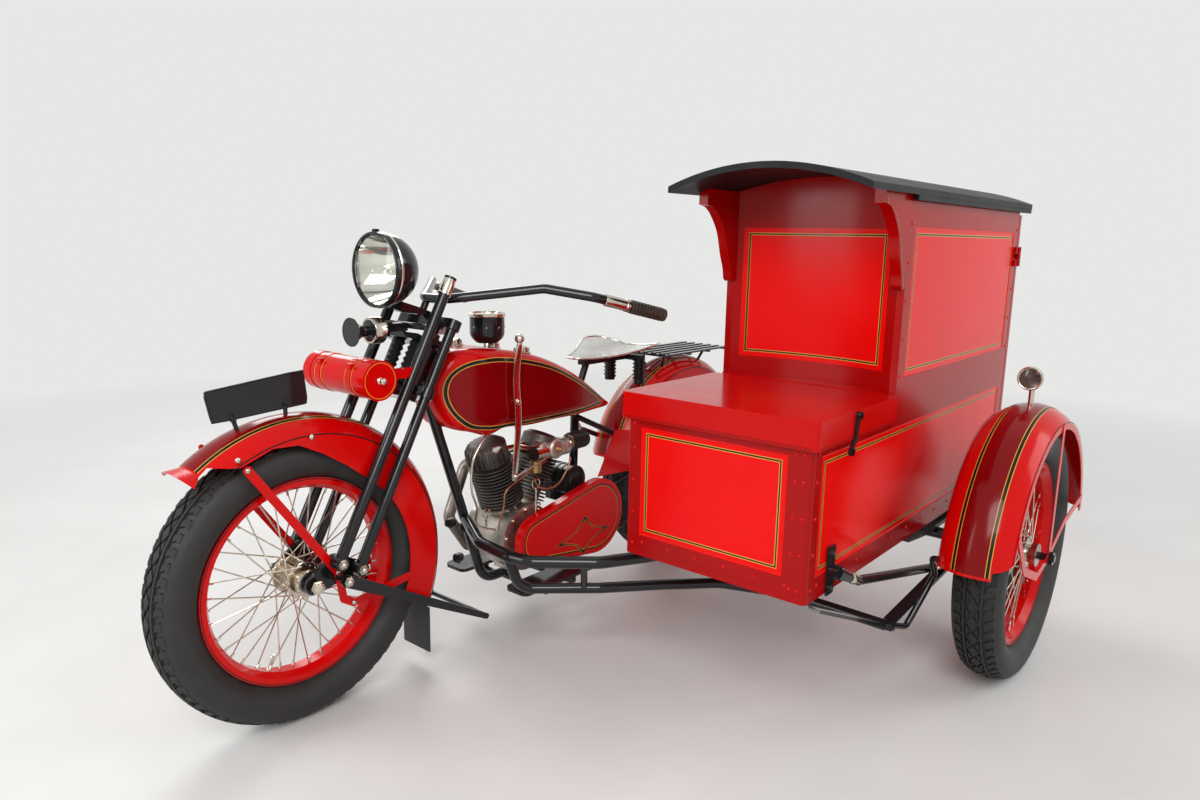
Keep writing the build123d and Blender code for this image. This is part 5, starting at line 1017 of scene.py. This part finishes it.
ends = Shape()
for side in (-1, 1):
    end = beside(-95, side * 62, 400)
    ends.lathe(end, Y * side, ((-6, 49.2), (2, 49.2), (4, 46), (5, 30), (9, 26), (10, 10)), 44)
    for spot in circle(end + Y * side * 3.5, X, Z, 38, 4, pi / 4):
        ends.bolt(spot, Y * side, 3.6, 3)
for aside in (-34, -12, 12, 34):
    ends.lathe(beside(-95, aside, 400), Y, ((-3, 48.4), (-2, 50), (2, 50), (3, 48.4)), 44)
ends.done("generator_bands", SATIN_BLACK, "black_paint")

# Primary guard: border line and the diamond with hollow sides
guard_face = node_box("primary_guard")[1].y
# x, z and radius of the guard's two round ends
FRONT_GUARD = (119, 275, 72)
REAR_GUARD = (-150, 285, 118)


def guard_outline(inset, lift=0.4):
    """Gives the guard's outline, two circles and their tangents, moved inwards and lifted off its face."""
    x0, z0, r0 = FRONT_GUARD
    x1, z1, r1 = REAR_GUARD
    turn = atan2(z1 - z0, x1 - x0)
    swing = asin((r1 - r0) / Vector((x1 - x0, z1 - z0)).length)
    run = []
    for x, z, radius, start, end in (
        (x0, z0, r0 - inset, turn + pi / 2 + swing, turn + 3 * pi / 2 - swing),
        (x1, z1, r1 - inset, turn - pi / 2 - swing, turn + pi / 2 + swing),
    ):
        for angle in spread(start, end, 33):
            run.append(Vector((x + radius * cos(angle), guard_face + lift, z + radius * sin(angle))))
    return run


def flat_line(shape, inset, width):
    """Adds a painted line along the guard's outline."""
    shape.grid([guard_outline(inset - width / 2), guard_outline(inset + width / 2)], around=True)


DIAMOND = [Vector(tip) for tip in ((-86, 303), (-206, 238), (-82, 176), (44, 236))]
DIAMOND_MIDDLE = Vector((-84, 240))


def diamond_run(tip, side):
    """Gives the diamond's four hollow sides, scaled by one share at its tips and one at its sides."""
    run = []
    for i in range(4):
        for step in range(12):
            t = step / 12
            hump = 4 * t * (1 - t)
            spot = DIAMOND[i].lerp(DIAMOND[(i + 1) % 4], t).lerp(DIAMOND_MIDDLE, hump * 0.34)
            spot = DIAMOND_MIDDLE + (spot - DIAMOND_MIDDLE) * (tip + (side - tip) * hump)
            run.append(Vector((spot.x, guard_face + 0.5, spot.y)))
    return run


black, gold, seam = shapes(3)
flat_line(black, 17, 4.4)
flat_line(gold, 20.3, 1.9)
black.grid([diamond_run(0.78, 0.93), diamond_run(1, 1)], around=True)
gold.grid([diamond_run(1, 1), diamond_run(1.015, 1.032)], around=True)
gold.grid([diamond_run(0.76, 0.9), diamond_run(0.78, 0.93)], around=True)
black.done("primary_guard_lines", LINE_BLACK, "black_paint")
gold.done("primary_guard_gold_lines", GOLD_LINE, "red_paint")
rows = [guard_outline(inset, lift) for inset, lift in ((-0.9, -4), (-0.9, -0.6), (1.6, 0.2))]
seam.grid(rows, around=True)
for step in range(9):
    seam.dome(guard_outline(8)[int(step * 66 / 9)], Y, 4.2, 2.6)
seam.done("primary_guard_edge", RED, "red_paint")

# Chassis clamps, the step's nickel end and the marker lamp's rim and glass
clamps = Shape()
for x, aside, z in ((367, 20, 371), (318, 18, 345), (340, 20, 262)):
    spot = beside(x, aside, z)
    clamps.block(spot - Vector((15, 10, 11)), spot + Vector((15, 10, 11)), 4)
    clamps.bolt(spot + Vector((0, 10, 5)), Y, 6, 6)
    clamps.bolt(spot + Vector((8, 10, -6)), Y, 5, 5)
for z in (473, 392):
    clamps.bolt((124, 563.4, z), Y, 6, 5)
clamps.bolt(beside(-142, 1066, 221), Y, 8, 7)
clamps.done("clamps_and_bolts", BLACK, "black_paint")
tip, glass_face = shapes(2)
start = Vector((124, 577, 433))
BAR_END = ((52, 11.8), (54, 13.6), (66, 13.2), (70, 11.4), (88, 11.6), (92, 9), (93, 4))
tip.lathe(start, Vector((48, 595, 396)) - start, BAR_END, 28)
MARKER = Vector((-529, 768, 812))
tip.lathe(MARKER, X, ((-11, 29.4), (-9, 30.6), (-1, 30.6), (1, 28), (0, 26)), 36)
tip.done("chassis_nickel_fittings", NICKEL, "nickel")
glass_face.lathe(MARKER, X, ((-1, 26), (1.5, 25), (4, 18), (5.4, 8), (5.8, 1)), 32)
glass_face.done("marker_glass", SMOKED_GLASS, "lens_glass")


# Stage, lamps and camera

BACKDROP = (0.8, 0.8, 0.79, 1)
# the floor fades into the backdrop between these distances from the middle, in metres
FADE = (1.9, 5.5)


def seen_directly(tree):
    """Gives 1 for what the camera sees, also in a mirror or through glass."""
    path = add_node(tree, "ShaderNodeLightPath")
    total = path.outputs["Is Camera Ray"]
    for name in ("Is Glossy Ray", "Is Transmission Ray"):
        inputs = {0: total, 1: path.outputs[name]}
        total = add_node(tree, "ShaderNodeMath", inputs, operation="MAXIMUM").outputs["Value"]
    return total


def mix_shaders(tree, share, first, second, output):
    """Mixes two shaders into the tree's output."""
    mixed = add_node(tree, "ShaderNodeMixShader", {"Fac": share, 1: first, 2: second})
    feed(tree, tree.nodes[output], {"Surface": mixed.outputs["Shader"]})


def stage_material():
    """Gives the pale floor's material, which fades into the backdrop far from the object."""
    material, tree, shader = new_material("pale_floor")
    stops = ((0.3, (0.74, 0.73, 0.71)), (0.7, (0.8, 0.79, 0.77)))
    feed(tree, shader, {"Base Color": ramp(tree, noise(tree, 2, 3), stops), "Roughness": 0.6})
    place = add_node(tree, "ShaderNodeNewGeometry").outputs["Position"]
    far = add_node(tree, "ShaderNodeVectorMath", {0: place}, operation="LENGTH").outputs["Value"]
    inputs = {0: value_ramp(tree, far, FADE[0], 0, FADE[1], 1), 1: seen_directly(tree)}
    share = add_node(tree, "ShaderNodeMath", inputs, operation="MULTIPLY").outputs["Value"]
    glow = add_node(tree, "ShaderNodeEmission", {"Color": BACKDROP}).outputs["Emission"]
    mix_shaders(tree, share, shader.outputs["BSDF"], glow, "Material Output")
    return material


bpy.ops.mesh.primitive_plane_add(size=40, location=(0, 0, -0.001))
floor = bpy.context.object
floor.name = "floor"
floor.data.materials.append(stage_material())

scene = bpy.context.scene
world = bpy.data.worlds.new("studio")
scene.world = world
world.use_nodes = True
sky = world.node_tree
soft = sky.nodes["Background"]
feed(sky, soft, {"Color": (0.92, 0.94, 0.96, 1), "Strength": 0.38})
backdrop = add_node(sky, "ShaderNodeBackground", {"Color": BACKDROP, "Strength": 1})
share = seen_directly(sky)
mix_shaders(sky, share, soft.outputs["Background"], backdrop.outputs["Background"], "World Output")

LIGHTS = (
    # name, place, aimed at, size, watts
    ("key", (3.6, 2.6, 3.6), (0.1, 0, 0.6), 2.4, 150),
    ("fill", (-2.6, 3.8, 2.6), (-0.3, 0.2, 0.6), 2.6, 70),
    ("rim", (-1.5, -3.6, 3.2), (0, -0.3, 0.6), 2.4, 90),
    ("front", (3.8, -1.8, 2), (0.4, -0.4, 0.5), 2, 60),
)
for name, place, aim, size, watts in LIGHTS:
    lamp = bpy.data.objects.new(name, bpy.data.lights.new(name, "AREA"))
    lamp.data.energy = watts
    lamp.data.size = size
    scene.collection.objects.link(lamp)
    lamp.location = place
    lamp.rotation_euler = (Vector(aim) - Vector(place)).to_track_quat("-Z", "Y").to_euler()

# The camera as it was recovered from the photograph: focal length in its pixels, then angles and place
FOCAL_PIXELS = 855.75
PICTURE_WIDTH = 1200
SENSOR = 36
camera = bpy.data.objects.new("camera", bpy.data.cameras.new("camera"))
camera.data.sensor_width = SENSOR
camera.data.lens = SENSOR * FOCAL_PIXELS / PICTURE_WIDTH
scene.collection.objects.link(camera)
yaw, pitch, roll = radians(219.979), radians(-10.8), radians(1.051)
forward = Vector((cos(yaw) * cos(pitch), sin(yaw) * cos(pitch), sin(pitch)))
turn = forward.to_track_quat("-Z", "Y").to_matrix().to_4x4() @ Matrix.Rotation(roll, 4, "Z")
camera.matrix_world = Matrix.Translation((1.8235, 1.314, 1.1471)) @ turn
scene.camera = camera
scene.view_settings.view_transform = "Standard"
